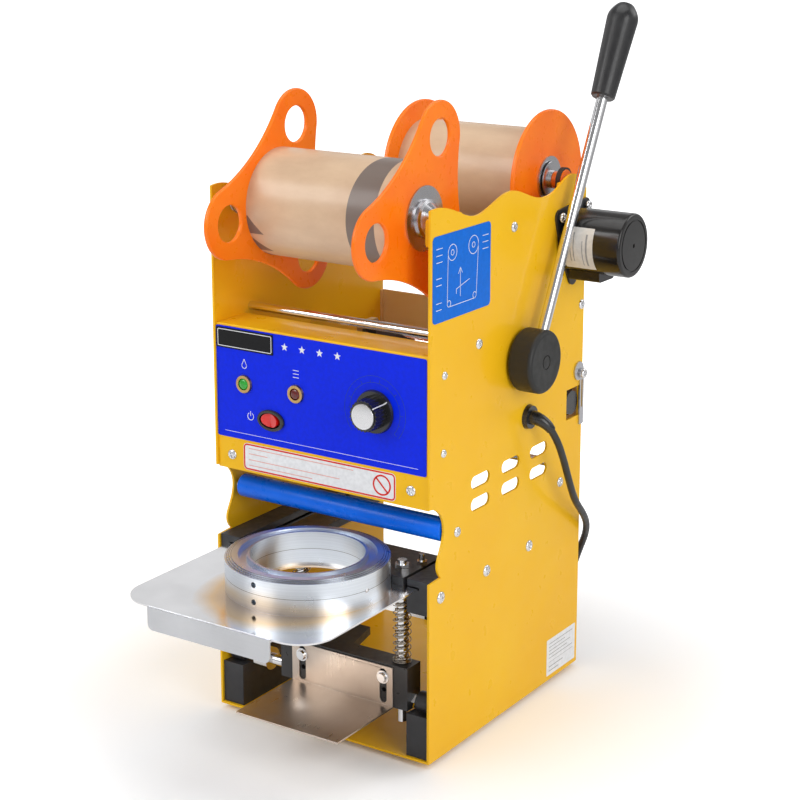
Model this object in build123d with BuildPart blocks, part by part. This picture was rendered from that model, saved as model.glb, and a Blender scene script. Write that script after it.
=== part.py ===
"""Hand-lever cup sealing machine: frame, sealing head, cup slide, cup lifter and film rolls.

Sizes below are in the body's own grid: x from the middle of the body, y back from the
side plates' front edges, z up from the side plates' lower edges. The helper planes move
that grid to the row frame, whose origin is the centre of the machine's footprint box.
"""
import os
from math import cos, hypot, pi, radians, sin, tan

from build123d import *

os.makedirs("parts", exist_ok=True)

# Body
body_x = -29.1          # middle of the body in the row frame
front_y = -77.5         # front edges of the side plates in the row frame
foot_height = 5.0
body_width = 220.0
plate_depth = 256.0
plate_height = 467.5
sheet = 2.0
half = body_width / 2
inner = half - sheet
hole_clearance = 0.05

# Cup station
station_x = 18.0        # middle of the ring, the head and the cutter
ring_y = -41.0          # ring centre with the slide pulled out
slide_travel = 139.0
station_y = ring_y + slide_travel
tray_top = 153.0
tray_gauge = 1.5
tray_half = 98.0
tray_front = -147.0
tray_back = 62.0
ring_radius = 68.0
ring_bore = 47.6
ring_split = 167.0
ring_top = 182.0
cup_hole = 44.0
carriage_top = 160.0

# Rails and ramps
rail_inner = 86.7
rail_bottom = 130.0
rail_top = 159.5
slot_gap = 0.4
ramp_inner = 86.3
ramp_drop = 12.0
ramp_length = 184.0
ramp_slope = ramp_drop / slide_travel

# Cup lifter
lifter_x = 21.0
rod_y = 16.0
rod_spread = 52.0
rod_radius = 4.0
bar_front = 5.0
bar_back = 25.0
bar_low = 40.0
bar_high = 78.0
pin_radius = 5.0
pin_z = 48.0
lift_roller_radius = 8.5

# Lever and head
pivot_y = 144.2
pivot_z = 318.2
shaft_radius = 8.0
crank_length = 35.0
crank_angle = 25.0
lever_throw = 70.0
crank_pin = 4.0
lever_angle = 62.4
lever_plane_x = 124.0
lever_length = 329.0
grip_start = 240.0
head_low = 248.0
head_high = 262.0
post_y = 70.0
post_spread = 62.0
post_radius = 6.0
bridge_low = 292.0
post_foot = 205.0

# Film rolls
supply_y, supply_z = 28.0, 455.5
takeup_y, takeup_z = 231.0, 459.0
spindle_radius = 5.0
disc_outer_x = 85.5
disc_gauge = 4.0
lobe_centre = 66.7
lobe_radius = 30.0
lobe_hole = 15.3
lobe_turn = 68.0
waist_radius = 54.0
core_bore = 18.0

# Front film roller and motor
roller_y, roller_z = 28.0, 198.0
roller_radius = 10.0
axle_radius = 4.0
motor_y, motor_z = 231.0, 408.4
motor_radius = 28.2
motor_end = 170.6

# Mains lead
cord_radius = 3.2
coil_x, coil_y = 0.0, 319.0
coil_outer_turn = 44.0
coil_turn_step = 6.4
coil_turns_wide = 3
floor_z = -foot_height


def side_plane(x):
    """A plane at x that faces right; local axes are y (back) and z (up)."""
    return Plane(origin=(body_x + x, front_y, foot_height), x_dir=(0, 1, 0), z_dir=(1, 0, 0))


def front_plane(y):
    """A plane at y that faces the front; local axes are x (right) and z (up)."""
    return Plane(origin=(body_x, front_y + y, foot_height), x_dir=(1, 0, 0), z_dir=(0, -1, 0))


def level_plane(z):
    """A plane at height z that faces up; local axes are x (right) and y (back)."""
    return Plane(origin=(body_x, front_y, foot_height + z))


def at(x, y, z):
    """A point of the body's grid in the row frame."""
    return (body_x + x, front_y + y, foot_height + z)


# ---------------------------------------------------------------- frame sheets

with BuildSketch() as plate_outline:
    with BuildLine():
        Polyline((17.5, 160), (0, 159), (0, 0), (plate_depth, 0), (plate_depth, 450))
        Spline((plate_depth, 450), (244, 462), (226, 466), (203, 457), (177, 452.8), (150, 459.5),
               (125, 466), (96, 460), (66, 454), (36, 463), (8, 468.5), (0, plate_height))
        Line((0, plate_height), (0, 223))
        Spline((0, 223), (13, 218), (21.2, 206), (18.5, 186), (12.7, 174), (17.5, 160))
    make_face()

vent_y = (79.0, 129.0, 177.5)
vent_z = (208.0, 227.5)
big_screws = ((129, 435), (74, 346), (251, 345))
small_screws = ((21, 331), (20, 266), (42, 192.5), (217, 187), (17, 143), (90, 143), (162.5, 143))
gland_y, gland_z = 158.0, 263.0
cutout_y = (227.0, 250.0)
cutout_z = (242.0, 270.0)
screw_shank = 2.0
motor_hole = 12.0


def plate_holes():
    """Holes that both side plates have: vents, the lever shaft, the roller axle and the screws."""
    with BuildSketch() as holes:
        with Locations([(y, z) for y in vent_y for z in vent_z]):
            SlotOverall(30, 11)
        with Locations((pivot_y, pivot_z)):
            Circle(shaft_radius + hole_clearance)
        with Locations(big_screws + small_screws):
            Circle(screw_shank)
    return holes.sketch


with BuildPart() as left_side_plate:
    with BuildSketch(side_plane(-half)):
        add(plate_outline.sketch)
        add(plate_holes(), mode=Mode.SUBTRACT)
    extrude(amount=sheet)
left_side_plate.part.label = "left_side_plate"
export_step(left_side_plate.part, "parts/left_side_plate.step")

with BuildPart() as right_side_plate:
    with BuildSketch(side_plane(inner)):
        add(plate_outline.sketch)
        add(plate_holes(), mode=Mode.SUBTRACT)
        with Locations((gland_y, gland_z)):
            Circle(8, mode=Mode.SUBTRACT)
        with Locations((motor_y, motor_z)):
            Circle(motor_hole, mode=Mode.SUBTRACT)
        with Locations(((cutout_y[0] + cutout_y[1]) / 2, (cutout_z[0] + cutout_z[1]) / 2)):
            Rectangle(cutout_y[1] - cutout_y[0], cutout_z[1] - cutout_z[0], mode=Mode.SUBTRACT)
    extrude(amount=sheet)
right_side_plate.part.label = "right_side_plate"
export_step(right_side_plate.part, "parts/right_side_plate.step")

with BuildPart() as base_plate:
    with BuildSketch(level_plane(0)):
        with Locations((0, plate_depth / 2)):
            Rectangle(2 * inner, plate_depth)
    extrude(amount=sheet)
base_plate.part.label = "base_plate"
export_step(base_plate.part, "parts/base_plate.step")

cover_low, cover_high = 222.0, 331.0
cover_gauge = 1.5
cover_flange = 5.0
with BuildPart() as rear_cover:
    with BuildSketch(level_plane(cover_low)):
        with BuildLine():
            Polyline((-inner, plate_depth - cover_flange), (-inner, plate_depth),
                     (inner, plate_depth), (inner, plate_depth - cover_flange),
                     (inner - cover_gauge, plate_depth - cover_flange),
                     (inner - cover_gauge, plate_depth - cover_gauge),
                     (-inner + cover_gauge, plate_depth - cover_gauge),
                     (-inner + cover_gauge, plate_depth - cover_flange),
                     (-inner, plate_depth - cover_flange))
        make_face()
    extrude(amount=cover_high - cover_low)
rear_cover.part.label = "rear_cover"
export_step(rear_cover.part, "parts/rear_cover.step")

with BuildPart() as rubber_feet:
    with BuildSketch(level_plane(0)):
        with Locations([(x, y) for x in (-90, 90) for y in (18, 238)]):
            Circle(10)
    extrude(amount=-foot_height, taper=8)
rubber_feet.part.label = "rubber_feet"
export_step(rubber_feet.part, "parts/rubber_feet.step")

# ---------------------------------------------------------------- front panel

panel_y = 2.0
panel_gauge = 1.5
panel_low, panel_high = 221.5, 350.0
panel_back = 42.0
overlay_gauge = 0.5
overlay_y = panel_y - overlay_gauge
lamp_spots = ((-78.0, 299.7), (-23.6, 299.4))
lamp_barrel = 5.5
switch_x, switch_z = -50.0, 272.0
switch_cut = (12.4, 7.9)
knob_x, knob_z = 56.0, 297.0
knob_shaft_radius = 3.0
panel_screws = ((-93.0, 234.5), (91.0, 236.0))


def panel_openings():
    """Openings that the panel and its overlay share: lamps, rocker switch and knob shaft."""
    with BuildSketch() as cuts:
        with Locations(lamp_spots):
            Circle(lamp_barrel)
        with Locations((switch_x, switch_z)):
            Ellipse(*switch_cut)
        with Locations((knob_x, knob_z)):
            Circle(knob_shaft_radius + 2)
    return cuts.sketch


with BuildPart() as front_panel:
    with BuildSketch(side_plane(-inner)):
        with BuildLine():
            Polyline((panel_y, panel_low), (panel_y, panel_high), (panel_back, panel_high),
                     (panel_back, panel_high - panel_gauge),
                     (panel_y + panel_gauge, panel_high - panel_gauge),
                     (panel_y + panel_gauge, panel_low), (panel_y, panel_low))
        make_face()
    extrude(amount=2 * inner)
    fillet(front_panel.edges().filter_by(Axis.X).group_by(Axis.Y)[0].sort_by(Axis.Z)[-1], 1.4)
    with BuildSketch(front_plane(panel_y + panel_gauge)):
        add(panel_openings())
        with Locations(panel_screws):
            Circle(screw_shank)
    extrude(amount=panel_gauge, mode=Mode.SUBTRACT)
front_panel.part.label = "front_panel"
export_step(front_panel.part, "parts/front_panel.step")

overlay_low, overlay_high = 250.0, 348.0
with BuildPart() as control_overlay:
    with BuildSketch(front_plane(panel_y)):
        with Locations((-1, (overlay_low + overlay_high) / 2)):
            RectangleRounded(214, overlay_high - overlay_low, 2)
        add(panel_openings(), mode=Mode.SUBTRACT)
    extrude(amount=overlay_gauge)
control_overlay.part.label = "control_overlay"
export_step(control_overlay.part, "parts/control_overlay.step")

label_gauge = 0.4
with BuildPart() as labels:
    with BuildSketch(front_plane(overlay_y)):
        with Locations((-77, 337.8)):
            Rectangle(60, 17.6)
    extrude(amount=2 * label_gauge)
    with BuildSketch(front_plane(panel_y)):
        with Locations((-2.4, 235.4)):
            RectangleRounded(156.7, 23.9, 4)
    extrude(amount=label_gauge)
    with BuildSketch(side_plane(half)):
        with Locations((47, 411.2)):
            RectangleRounded(88, 70.5, 4)
        with Locations((225.5, 22)):
            Rectangle(53, 35)
    extrude(amount=label_gauge)
labels.part.label = "labels"
export_step(labels.part, "parts/labels.step")

with BuildPart() as indicator_bezels:
    with BuildSketch(front_plane(overlay_y)):
        with Locations(lamp_spots):
            Circle(8)
            Circle(4.7, mode=Mode.SUBTRACT)
    extrude(amount=2.2, taper=12)
    with BuildSketch(front_plane(overlay_y)):
        with Locations(lamp_spots):
            Circle(lamp_barrel)
            Circle(4.7, mode=Mode.SUBTRACT)
    extrude(amount=-14)
indicator_bezels.part.label = "indicator_bezels"
export_step(indicator_bezels.part, "parts/indicator_bezels.step")

with BuildPart() as indicator_lenses:
    with BuildSketch(front_plane(overlay_y + 10)):
        with Locations(lamp_spots):
            Circle(4.7)
    extrude(amount=11.5)
    with BuildSketch(front_plane(overlay_y - 1.5)):
        with Locations(lamp_spots):
            Circle(4.7)
    extrude(amount=1.6, taper=32)
indicator_lenses.part.label = "indicator_lenses"
export_step(indicator_lenses.part, "parts/indicator_lenses.step")

rocker_half = 9.4
rocker_tall = 12.2
rocker_pin = 3.0
rocker_pivot_y = 6.0
rocker_tilt = 8.0
switch_pocket = (11.0, 6.7)
bezel_proud = 2.5
with BuildPart() as switch_bezel:
    with BuildSketch(front_plane(overlay_y)):
        with Locations((switch_x, switch_z)):
            Ellipse(13.9, 9.2)
    extrude(amount=bezel_proud)
    chamfer(switch_bezel.faces().sort_by(Axis.Y)[0].edges(), 0.8)
    with BuildSketch(front_plane(overlay_y)):
        with Locations((switch_x, switch_z)):
            Ellipse(*switch_cut)
    extrude(amount=-18)
    with BuildSketch(front_plane(overlay_y + 12)):
        with Locations((switch_x, switch_z)):
            Ellipse(*switch_pocket)
    extrude(amount=16, mode=Mode.SUBTRACT)
switch_bezel.part.label = "switch_bezel"
export_step(switch_bezel.part, "parts/switch_bezel.step")

rocker_plane = Plane(origin=at(switch_x, rocker_pivot_y, switch_z - rocker_tall / 2))
with BuildPart() as power_rocker:
    with BuildSketch(rocker_plane.rotated((0, 0, -rocker_tilt))):
        with BuildLine():
            Polyline((-rocker_pin, 0), (-rocker_half, -1), (-rocker_half, -7.4), (0, -5.2),
                     (rocker_half, -7.4), (rocker_half, -1), (rocker_pin, 0))
            ThreePointArc((rocker_pin, 0), (0, rocker_pin), (-rocker_pin, 0))
        make_face()
    extrude(amount=rocker_tall)
    tilt_x, tilt_y = cos(radians(rocker_tilt)), sin(radians(rocker_tilt))
    with BuildSketch(Plane(origin=at(switch_x, rocker_pivot_y, switch_z),
                           x_dir=(tilt_x, -tilt_y, 0), z_dir=(-tilt_y, -tilt_x, 0))):
        Ellipse(rocker_half - 0.2, rocker_tall / 2 - 0.2)
    extrude(amount=20, both=True, mode=Mode.INTERSECT)
power_rocker.part.label = "power_rocker"
export_step(power_rocker.part, "parts/power_rocker.step")

skirt_radius = 18.5
grip_radius = 14.0
flute_count = 24
with BuildPart() as temperature_knob:
    with BuildSketch(front_plane(overlay_y - 0.5)):
        with Locations((knob_x, knob_z)):
            Circle(skirt_radius)
    extrude(amount=2.5, taper=20)
    with BuildSketch(front_plane(overlay_y - 3)):
        with Locations((knob_x, knob_z)):
            Circle(grip_radius)
            with PolarLocations(grip_radius, flute_count):
                Circle(0.9, mode=Mode.SUBTRACT)
    extrude(amount=14, taper=3)
    with BuildSketch(front_plane(overlay_y - 17)):
        with Locations((knob_x, knob_z)):
            Circle(11.5)
    extrude(amount=1)
    with BuildSketch(front_plane(20)):
        with Locations((knob_x, knob_z)):
            Circle(knob_shaft_radius)
    extrude(amount=20)
temperature_knob.part.label = "temperature_knob"
export_step(temperature_knob.part, "parts/temperature_knob.step")

with BuildPart() as thermostat:
    with BuildSketch(front_plane(40)):
        with Locations((knob_x, knob_z)):
            RectangleRounded(44, 44, 2)
    extrude(amount=30)
    with BuildSketch(front_plane(10)):
        with Locations((knob_x, knob_z)):
            Circle(knob_shaft_radius + 1.9)
    extrude(amount=6)
    with BuildSketch(front_plane(22)):
        with Locations((knob_x, knob_z)):
            Circle(knob_shaft_radius + hole_clearance)
    extrude(amount=20, mode=Mode.SUBTRACT)
thermostat.part.label = "thermostat"
export_step(thermostat.part, "parts/thermostat.step")

# ---------------------------------------------------------------- screws


def dome_heads(radius, height):
    """One screw: a domed head standing on the local plane and a shank into the sheet."""
    with BuildPart() as screw:
        Cylinder(radius, height * 0.45, align=(Align.CENTER, Align.CENTER, Align.MIN))
        with BuildSketch(Plane.XY.offset(height * 0.45)):
            Circle(radius)
        extrude(amount=height * 0.55, taper=42)
        Cylinder(screw_shank, sheet, align=(Align.CENTER, Align.CENTER, Align.MAX))
    return screw.part


def side_location(x, y, z, facing):
    """A location on a side plate whose local z axis points outwards (facing is 1 or -1)."""
    plane = Plane(origin=at(x, y, z), x_dir=(0, facing, 0), z_dir=(facing, 0, 0))
    return plane.location


big_head = dome_heads(4.4, 2.4)
small_head = dome_heads(3.4, 2.0)
case_screw_spots = []
for facing in (-1, 1):
    case_screw_spots += [(side_location(facing * half, y, z, facing), big_head) for y, z in big_screws]
    case_screw_spots += [(side_location(facing * half, y, z, facing), small_head)
                         for y, z in small_screws]
case_screw_spots += [(Plane(origin=at(x, panel_y, z), x_dir=(1, 0, 0), z_dir=(0, -1, 0)).location,
                      big_head) for x, z in panel_screws]
with BuildPart() as case_screws:
    for spot, screw in case_screw_spots:
        add(screw.moved(spot))
case_screws.part.label = "case_screws"
export_step(case_screws.part, "parts/case_screws.step")

# ---------------------------------------------------------------- rails and ramps

with BuildPart() as tray_rails:
    for side in (-1, 1):
        with BuildSketch(front_plane(250)):
            with Locations((side * (rail_inner + inner) / 2, (rail_bottom + rail_top) / 2)):
                Rectangle(inner - rail_inner, rail_top - rail_bottom)
            slot_out = tray_half + slot_gap
            slot_mid = tray_top - tray_gauge / 2
            with Locations((side * (rail_inner + slot_out) / 2, slot_mid)):
                Rectangle(slot_out - rail_inner, tray_gauge + 2 * slot_gap, mode=Mode.SUBTRACT)
        extrude(amount=248)
tray_rails.part.label = "tray_rails"
export_step(tray_rails.part, "parts/tray_rails.step")

ramp_rest_z = pin_z - (lift_roller_radius + 0.3) * hypot(1, ramp_slope)
ramp_rest_y = rod_y - 1.0


def ramp_height(y):
    """Height of the ramp's top at y; the lifter rollers run down it as the slide goes in."""
    return ramp_rest_z - ramp_slope * (y - ramp_rest_y)


with BuildPart() as ramp_blocks:
    for side in (-inner, ramp_inner):
        with BuildSketch(side_plane(side)):
            with BuildLine():
                Polyline((2, sheet), (ramp_length, sheet), (ramp_length, ramp_height(ramp_length)),
                         (2, ramp_height(2)), (2, sheet))
            make_face()
        extrude(amount=inner - ramp_inner)
ramp_blocks.part.label = "ramp_blocks"
export_step(ramp_blocks.part, "parts/ramp_blocks.step")

# ---------------------------------------------------------------- bars and brackets

with BuildPart() as guide_bars:
    with BuildSketch(side_plane(-inner)):
        with Locations((roller_y, roller_z), (50, 355), (200, 210)):
            Circle(axle_radius)
    extrude(amount=2 * inner)
guide_bars.part.label = "guide_bars"
export_step(guide_bars.part, "parts/guide_bars.step")

bracket_gauge = 4.0
bracket_top = 460.0
bracket_low = 438.0
with BuildPart() as spindle_brackets:
    for side in (-inner, inner - bracket_gauge):
        for y, z, front, back in ((supply_y, supply_z, 2, 50), (takeup_y, takeup_z, 212, 250)):
            with BuildSketch(side_plane(side)):
                with Locations(((front + back) / 2, (bracket_low + bracket_top) / 2)):
                    RectangleRounded(back - front, bracket_top - bracket_low, 3)
                with Locations((y, z)):
                    Circle(spindle_radius + hole_clearance, mode=Mode.SUBTRACT)
                with Locations((y, z + 10)):
                    Rectangle(2 * (spindle_radius + hole_clearance), 20, mode=Mode.SUBTRACT)
            extrude(amount=bracket_gauge)
spindle_brackets.part.label = "spindle_brackets"
export_step(spindle_brackets.part, "parts/spindle_brackets.step")

# ---------------------------------------------------------------- front film roller

with BuildPart() as film_roller:
    with BuildSketch(side_plane(-102)):
        with Locations((roller_y, roller_z)):
            Circle(roller_radius)
            Circle(axle_radius + hole_clearance, mode=Mode.SUBTRACT)
    extrude(amount=209)
film_roller.part.label = "film_roller"
export_step(film_roller.part, "parts/film_roller.step")

# ---------------------------------------------------------------- film rolls


def trefoil():
    """The three-lobed end disc of the supply roll, as a face round the local origin."""
    reach = waist_radius
    rise = lobe_centre * cos(radians(60))
    top = reach ** 2 + lobe_centre ** 2 - 2 * reach * rise - lobe_radius ** 2
    dip_radius = top / (2 * (lobe_radius + rise - reach))
    dip_centre = reach + dip_radius

    def polar(radius, angle):
        return Vector(radius * cos(radians(angle)), radius * sin(radians(angle)))

    def touch(lobe, dip):
        start = polar(lobe_centre, lobe)
        return start + (polar(dip_centre, dip) - start).normalized() * lobe_radius

    with BuildSketch() as face:
        with BuildLine():
            for turn in (0, 120, 240):
                lobe = lobe_turn + turn
                ThreePointArc(touch(lobe, lobe - 60), polar(lobe_centre + lobe_radius, lobe),
                              touch(lobe, lobe + 60))
                ThreePointArc(touch(lobe, lobe + 60), polar(waist_radius, lobe + 60),
                              touch(lobe + 120, lobe + 60))
        make_face()
        with PolarLocations(lobe_centre, 3, start_angle=lobe_turn):
            Circle(lobe_hole, mode=Mode.SUBTRACT)
        Circle(spindle_radius, mode=Mode.SUBTRACT)
    return face.sketch


supply_left = -58.0
supply_right = disc_outer_x - disc_gauge
with BuildPart() as supply_discs:
    for x in (supply_left - disc_gauge, supply_right):
        with BuildSketch(side_plane(x)):
            with Locations((supply_y, supply_z)):
                add(trefoil())
        extrude(amount=disc_gauge)
    for x, way in ((supply_left, 1), (supply_right, -1)):
        with BuildSketch(side_plane(x)):
            with Locations((supply_y, supply_z)):
                Circle(core_bore)
                Circle(spindle_radius, mode=Mode.SUBTRACT)
        extrude(amount=way * 8)
supply_discs.part.label = "supply_discs"
export_step(supply_discs.part, "parts/supply_discs.step")

with BuildPart() as supply_roll:
    with BuildSketch(side_plane(supply_left)):
        with Locations((supply_y, supply_z)):
            Circle(45.5)
            Circle(core_bore, mode=Mode.SUBTRACT)
    extrude(amount=supply_right - supply_left)
supply_roll.part.label = "supply_roll"
export_step(supply_roll.part, "parts/supply_roll.step")

spindle_end = inner - 1.5
with BuildPart() as supply_spindle:
    with BuildSketch(side_plane(-spindle_end)):
        with Locations((supply_y, supply_z)):
            Circle(spindle_radius)
    extrude(amount=2 * spindle_end)
supply_spindle.part.label = "supply_spindle"
export_step(supply_spindle.part, "parts/supply_spindle.step")


def turned(builder_profile, y, z):
    """Revolve an (x, radius) profile about the roll axis at y, z."""
    axis_plane = Plane(origin=at(0, y, z), x_dir=(1, 0, 0), z_dir=(0, -1, 0))
    with BuildPart() as piece:
        with BuildSketch(axis_plane):
            with BuildLine():
                Polyline(*builder_profile, builder_profile[0])
            make_face()
        revolve(axis=Axis(at(0, y, z), (1, 0, 0)))
    return piece.part


bore = spindle_radius
right_hub = ((85.5, bore), (85.5, 26.5), (87, 26.5), (87, 16), (90, 15.5), (91, 13), (96, 9),
             (101, 8.5), (101, bore))
left_hub = ((-62, bore), (-62, 20), (-64, 20), (-64, 12), (-74, 12), (-74, bore))
with BuildPart() as supply_hubs:
    add(turned(right_hub, supply_y, supply_z))
    add(turned(left_hub, supply_y, supply_z))
supply_hubs.part.label = "supply_hubs"
export_step(supply_hubs.part, "parts/supply_hubs.step")


def coil_spring(foot, direction, pitch, height, radius, wire):
    """A round-wire coil spring that starts round a foot point and winds along a direction."""
    with BuildPart() as spring:
        with BuildLine():
            helix = Helix(pitch, height, radius, center=foot, direction=direction)
        with BuildSketch(Plane(origin=helix @ 0, z_dir=helix % 0)):
            Circle(wire)
        sweep(path=helix, is_frenet=True)
    return spring.part


with BuildPart() as supply_spring:
    add(coil_spring(at(-102, supply_y, supply_z), (1, 0, 0), 5.5, 26, 14, 1.0))
supply_spring.part.label = "supply_spring"
export_step(supply_spring.part, "parts/supply_spring.step")

takeup_left = -46.0
takeup_right = disc_outer_x - disc_gauge
takeup_disc_radius = 61.5
with BuildPart() as takeup_discs:
    for x in (takeup_left - disc_gauge, takeup_right):
        with BuildSketch(side_plane(x)):
            with Locations((takeup_y, takeup_z)):
                Circle(takeup_disc_radius)
                Circle(spindle_radius, mode=Mode.SUBTRACT)
        extrude(amount=disc_gauge)
    for x, way in ((takeup_left, 1), (takeup_right, -1)):
        with BuildSketch(side_plane(x)):
            with Locations((takeup_y, takeup_z)):
                Circle(core_bore)
                Circle(spindle_radius, mode=Mode.SUBTRACT)
        extrude(amount=way * 8)
    fillet(takeup_discs.edges().filter_by(GeomType.CIRCLE).filter_by(
        lambda edge: abs(edge.radius - takeup_disc_radius) < 0.01), 1.2)
takeup_discs.part.label = "takeup_discs"
export_step(takeup_discs.part, "parts/takeup_discs.step")

with BuildPart() as takeup_roll:
    with BuildSketch(side_plane(takeup_left)):
        with Locations((takeup_y, takeup_z)):
            Circle(44)
            Circle(core_bore, mode=Mode.SUBTRACT)
    extrude(amount=takeup_right - takeup_left)
takeup_roll.part.label = "takeup_roll"
export_step(takeup_roll.part, "parts/takeup_roll.step")

takeup_hub_right = ((85.5, bore), (85.5, 20.6), (86.8, 20.6), (86.8, 9), (88, 9), (88, 16),
                    (89.2, 16), (89.2, 8), (92, 8), (92, bore))
takeup_hub_left = ((-50, bore), (-50, 20.6), (-51.5, 20.6), (-51.5, 12), (-60, 12), (-60, bore))
with BuildPart() as takeup_spindle:
    with BuildSketch(side_plane(-spindle_end)):
        with Locations((takeup_y, takeup_z)):
            Circle(spindle_radius)
    extrude(amount=2 * spindle_end)
    add(turned(takeup_hub_right, takeup_y, takeup_z))
    add(turned(takeup_hub_left, takeup_y, takeup_z))
takeup_spindle.part.label = "takeup_spindle"
export_step(takeup_spindle.part, "parts/takeup_spindle.step")

pulley_radius = 10.0
pulley_x = 98.0
pulley_width = 5.0
with BuildPart() as takeup_pulley:
    with BuildSketch(side_plane(pulley_x)):
        with Locations((takeup_y, takeup_z)):
            Circle(pulley_radius)
            Circle(spindle_radius, mode=Mode.SUBTRACT)
    extrude(amount=pulley_width)
    with BuildSketch(side_plane(92)):
        with Locations((takeup_y, takeup_z)):
            Circle(7.5)
            Circle(spindle_radius, mode=Mode.SUBTRACT)
    extrude(amount=pulley_x - 92)
takeup_pulley.part.label = "takeup_pulley"
export_step(takeup_pulley.part, "parts/takeup_pulley.step")

# ---------------------------------------------------------------- film drive

with BuildPart() as motor_pulley:
    with BuildSketch(side_plane(pulley_x)):
        with Locations((motor_y, motor_z)):
            Circle(pulley_radius)
    extrude(amount=pulley_width)
    with BuildSketch(side_plane(pulley_x)):
        with Locations((motor_y, motor_z)):
            Circle(4)
    extrude(amount=half + 1.5 - pulley_x)
motor_pulley.part.label = "motor_pulley"
export_step(motor_pulley.part, "parts/motor_pulley.step")

belt_gap = 0.3
belt_gauge = 1.5
pulley_distance = takeup_z - motor_z
with BuildPart() as drive_belt:
    with BuildSketch(side_plane(pulley_x + 0.5)):
        with Locations(Location((motor_y, (motor_z + takeup_z) / 2), 90)):
            SlotCenterToCenter(pulley_distance, 2 * (pulley_radius + belt_gap + belt_gauge))
            SlotCenterToCenter(pulley_distance, 2 * (pulley_radius + belt_gap), mode=Mode.SUBTRACT)
    extrude(amount=pulley_width - 1)
drive_belt.part.label = "drive_belt"
export_step(drive_belt.part, "parts/drive_belt.step")

flange_ears = ((206.0, 431.0), (253.0, 435.0), (231.0, 374.0))
with BuildPart() as motor_flange:
    with BuildSketch(side_plane(half)):
        with Locations(flange_ears):
            Circle(7)
        with Locations((motor_y, motor_z)):
            Circle(24)
        make_hull()
        with Locations((motor_y, motor_z)):
            Circle(motor_hole, mode=Mode.SUBTRACT)
    extrude(amount=sheet)
    with BuildSketch(side_plane(half + sheet)):
        with Locations(flange_ears[:2]):
            Circle(3.2)
    extrude(amount=2.2, taper=20)
motor_flange.part.label = "motor_flange"
export_step(motor_flange.part, "parts/motor_flange.step")

with BuildPart() as motor_body:
    with BuildSketch(side_plane(half + sheet)):
        with Locations((motor_y, motor_z)):
            Circle(motor_radius)
    extrude(amount=motor_end - half - sheet)
    fillet(motor_body.faces().sort_by(Axis.X)[-1].edges(), 2.5)
    with BuildSketch(side_plane(motor_end)):
        with Locations((motor_y, motor_z)):
            Circle(23)
            Circle(21.6, mode=Mode.SUBTRACT)
            Circle(1.8)
    extrude(amount=-1, mode=Mode.SUBTRACT)
    with BuildSketch(side_plane(half + sheet + 2)):
        with Locations((motor_y + 2, 380)):
            RectangleRounded(28, 12, 3)
    extrude(amount=30)
motor_body.part.label = "motor_body"
export_step(motor_body.part, "parts/motor_body.step")

with BuildPart() as limit_switch:
    with BuildSketch(side_plane(94)):
        with Locations((238, 256)):
            Rectangle(20, 26)
    extrude(amount=10)
    with BuildSketch(side_plane(104)):
        with Locations((238.5, 256)):
            Circle(11)
    extrude(amount=inner - 104 + 1)
limit_switch.part.label = "limit_switch"
export_step(limit_switch.part, "parts/limit_switch.step")

with BuildPart() as switch_strap:
    with BuildSketch(side_plane(half)):
        with Locations((247.5, 284)):
            Circle(8.5)
        with Locations((253, 258)):
            RectangleRounded(7.5, 50, 1)
        with Locations((253, 262)):
            SlotOverall(26, 2.4, rotation=90, mode=Mode.SUBTRACT)
    extrude(amount=1.5)
    with BuildSketch(side_plane(half + 1.5)):
        with Locations((252, 281)):
            Circle(4)
    extrude(amount=2.2, taper=25)
switch_strap.part.label = "switch_strap"
export_step(switch_strap.part, "parts/switch_strap.step")

# ---------------------------------------------------------------- lever

lever_plane = Plane(origin=at(lever_plane_x, pivot_y, pivot_z),
                    x_dir=(0, cos(radians(lever_angle)), sin(radians(lever_angle))),
                    z_dir=(1, 0, 0))
hub_inner_x = half + 2
hub_outer_x = 135.0
hub_radius = 27.5
lever_rod_radius = 5.0
rod_start = 20.0
grip_socket = 30.0
rod_profile = ((rod_start, 0), (rod_start, lever_rod_radius),
               (grip_start + grip_socket, lever_rod_radius), (grip_start + grip_socket, 0))


def lever_turned(profile):
    """Revolve an (along, radius) profile about the lever's own axis."""
    with BuildPart() as piece:
        with BuildSketch(lever_plane):
            with BuildLine():
                Polyline(*profile, profile[0])
            make_face()
        revolve(axis=Axis(lever_plane.origin, lever_plane.x_dir))
    return piece.part

with BuildPart() as lever_shaft:
    with BuildSketch(side_plane(-half)):
        with Locations((pivot_y, pivot_z)):
            Circle(shaft_radius)
    extrude(amount=half + hub_outer_x - 7)
lever_shaft.part.label = "lever_shaft"
export_step(lever_shaft.part, "parts/lever_shaft.step")

pin_y = pivot_y - crank_length * cos(radians(crank_angle))
crank_z = pivot_z + crank_length * sin(radians(crank_angle))
crank_gauge = 8.0
crank_out = 36.0
yoke_gap = 1.0
yoke_gauge = 6.0
with BuildPart() as crank_arms:
    for side in (-1, 1):
        crank_x = station_x + side * crank_out - crank_gauge / 2
        with BuildSketch(side_plane(crank_x)):
            with Locations((pivot_y, pivot_z)):
                Circle(12)
            with Locations((pin_y, crank_z)):
                Circle(7)
            make_hull()
            with Locations((pivot_y, pivot_z)):
                Circle(shaft_radius, mode=Mode.SUBTRACT)
        extrude(amount=crank_gauge)
        pin_span = crank_gauge / 2 + yoke_gap + yoke_gauge + 1
        with BuildSketch(side_plane(station_x + side * crank_out)):
            with Locations((pin_y, crank_z)):
                Circle(crank_pin)
        extrude(amount=side * pin_span)
crank_arms.part.label = "crank_arms"
export_step(crank_arms.part, "parts/crank_arms.step")

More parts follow.
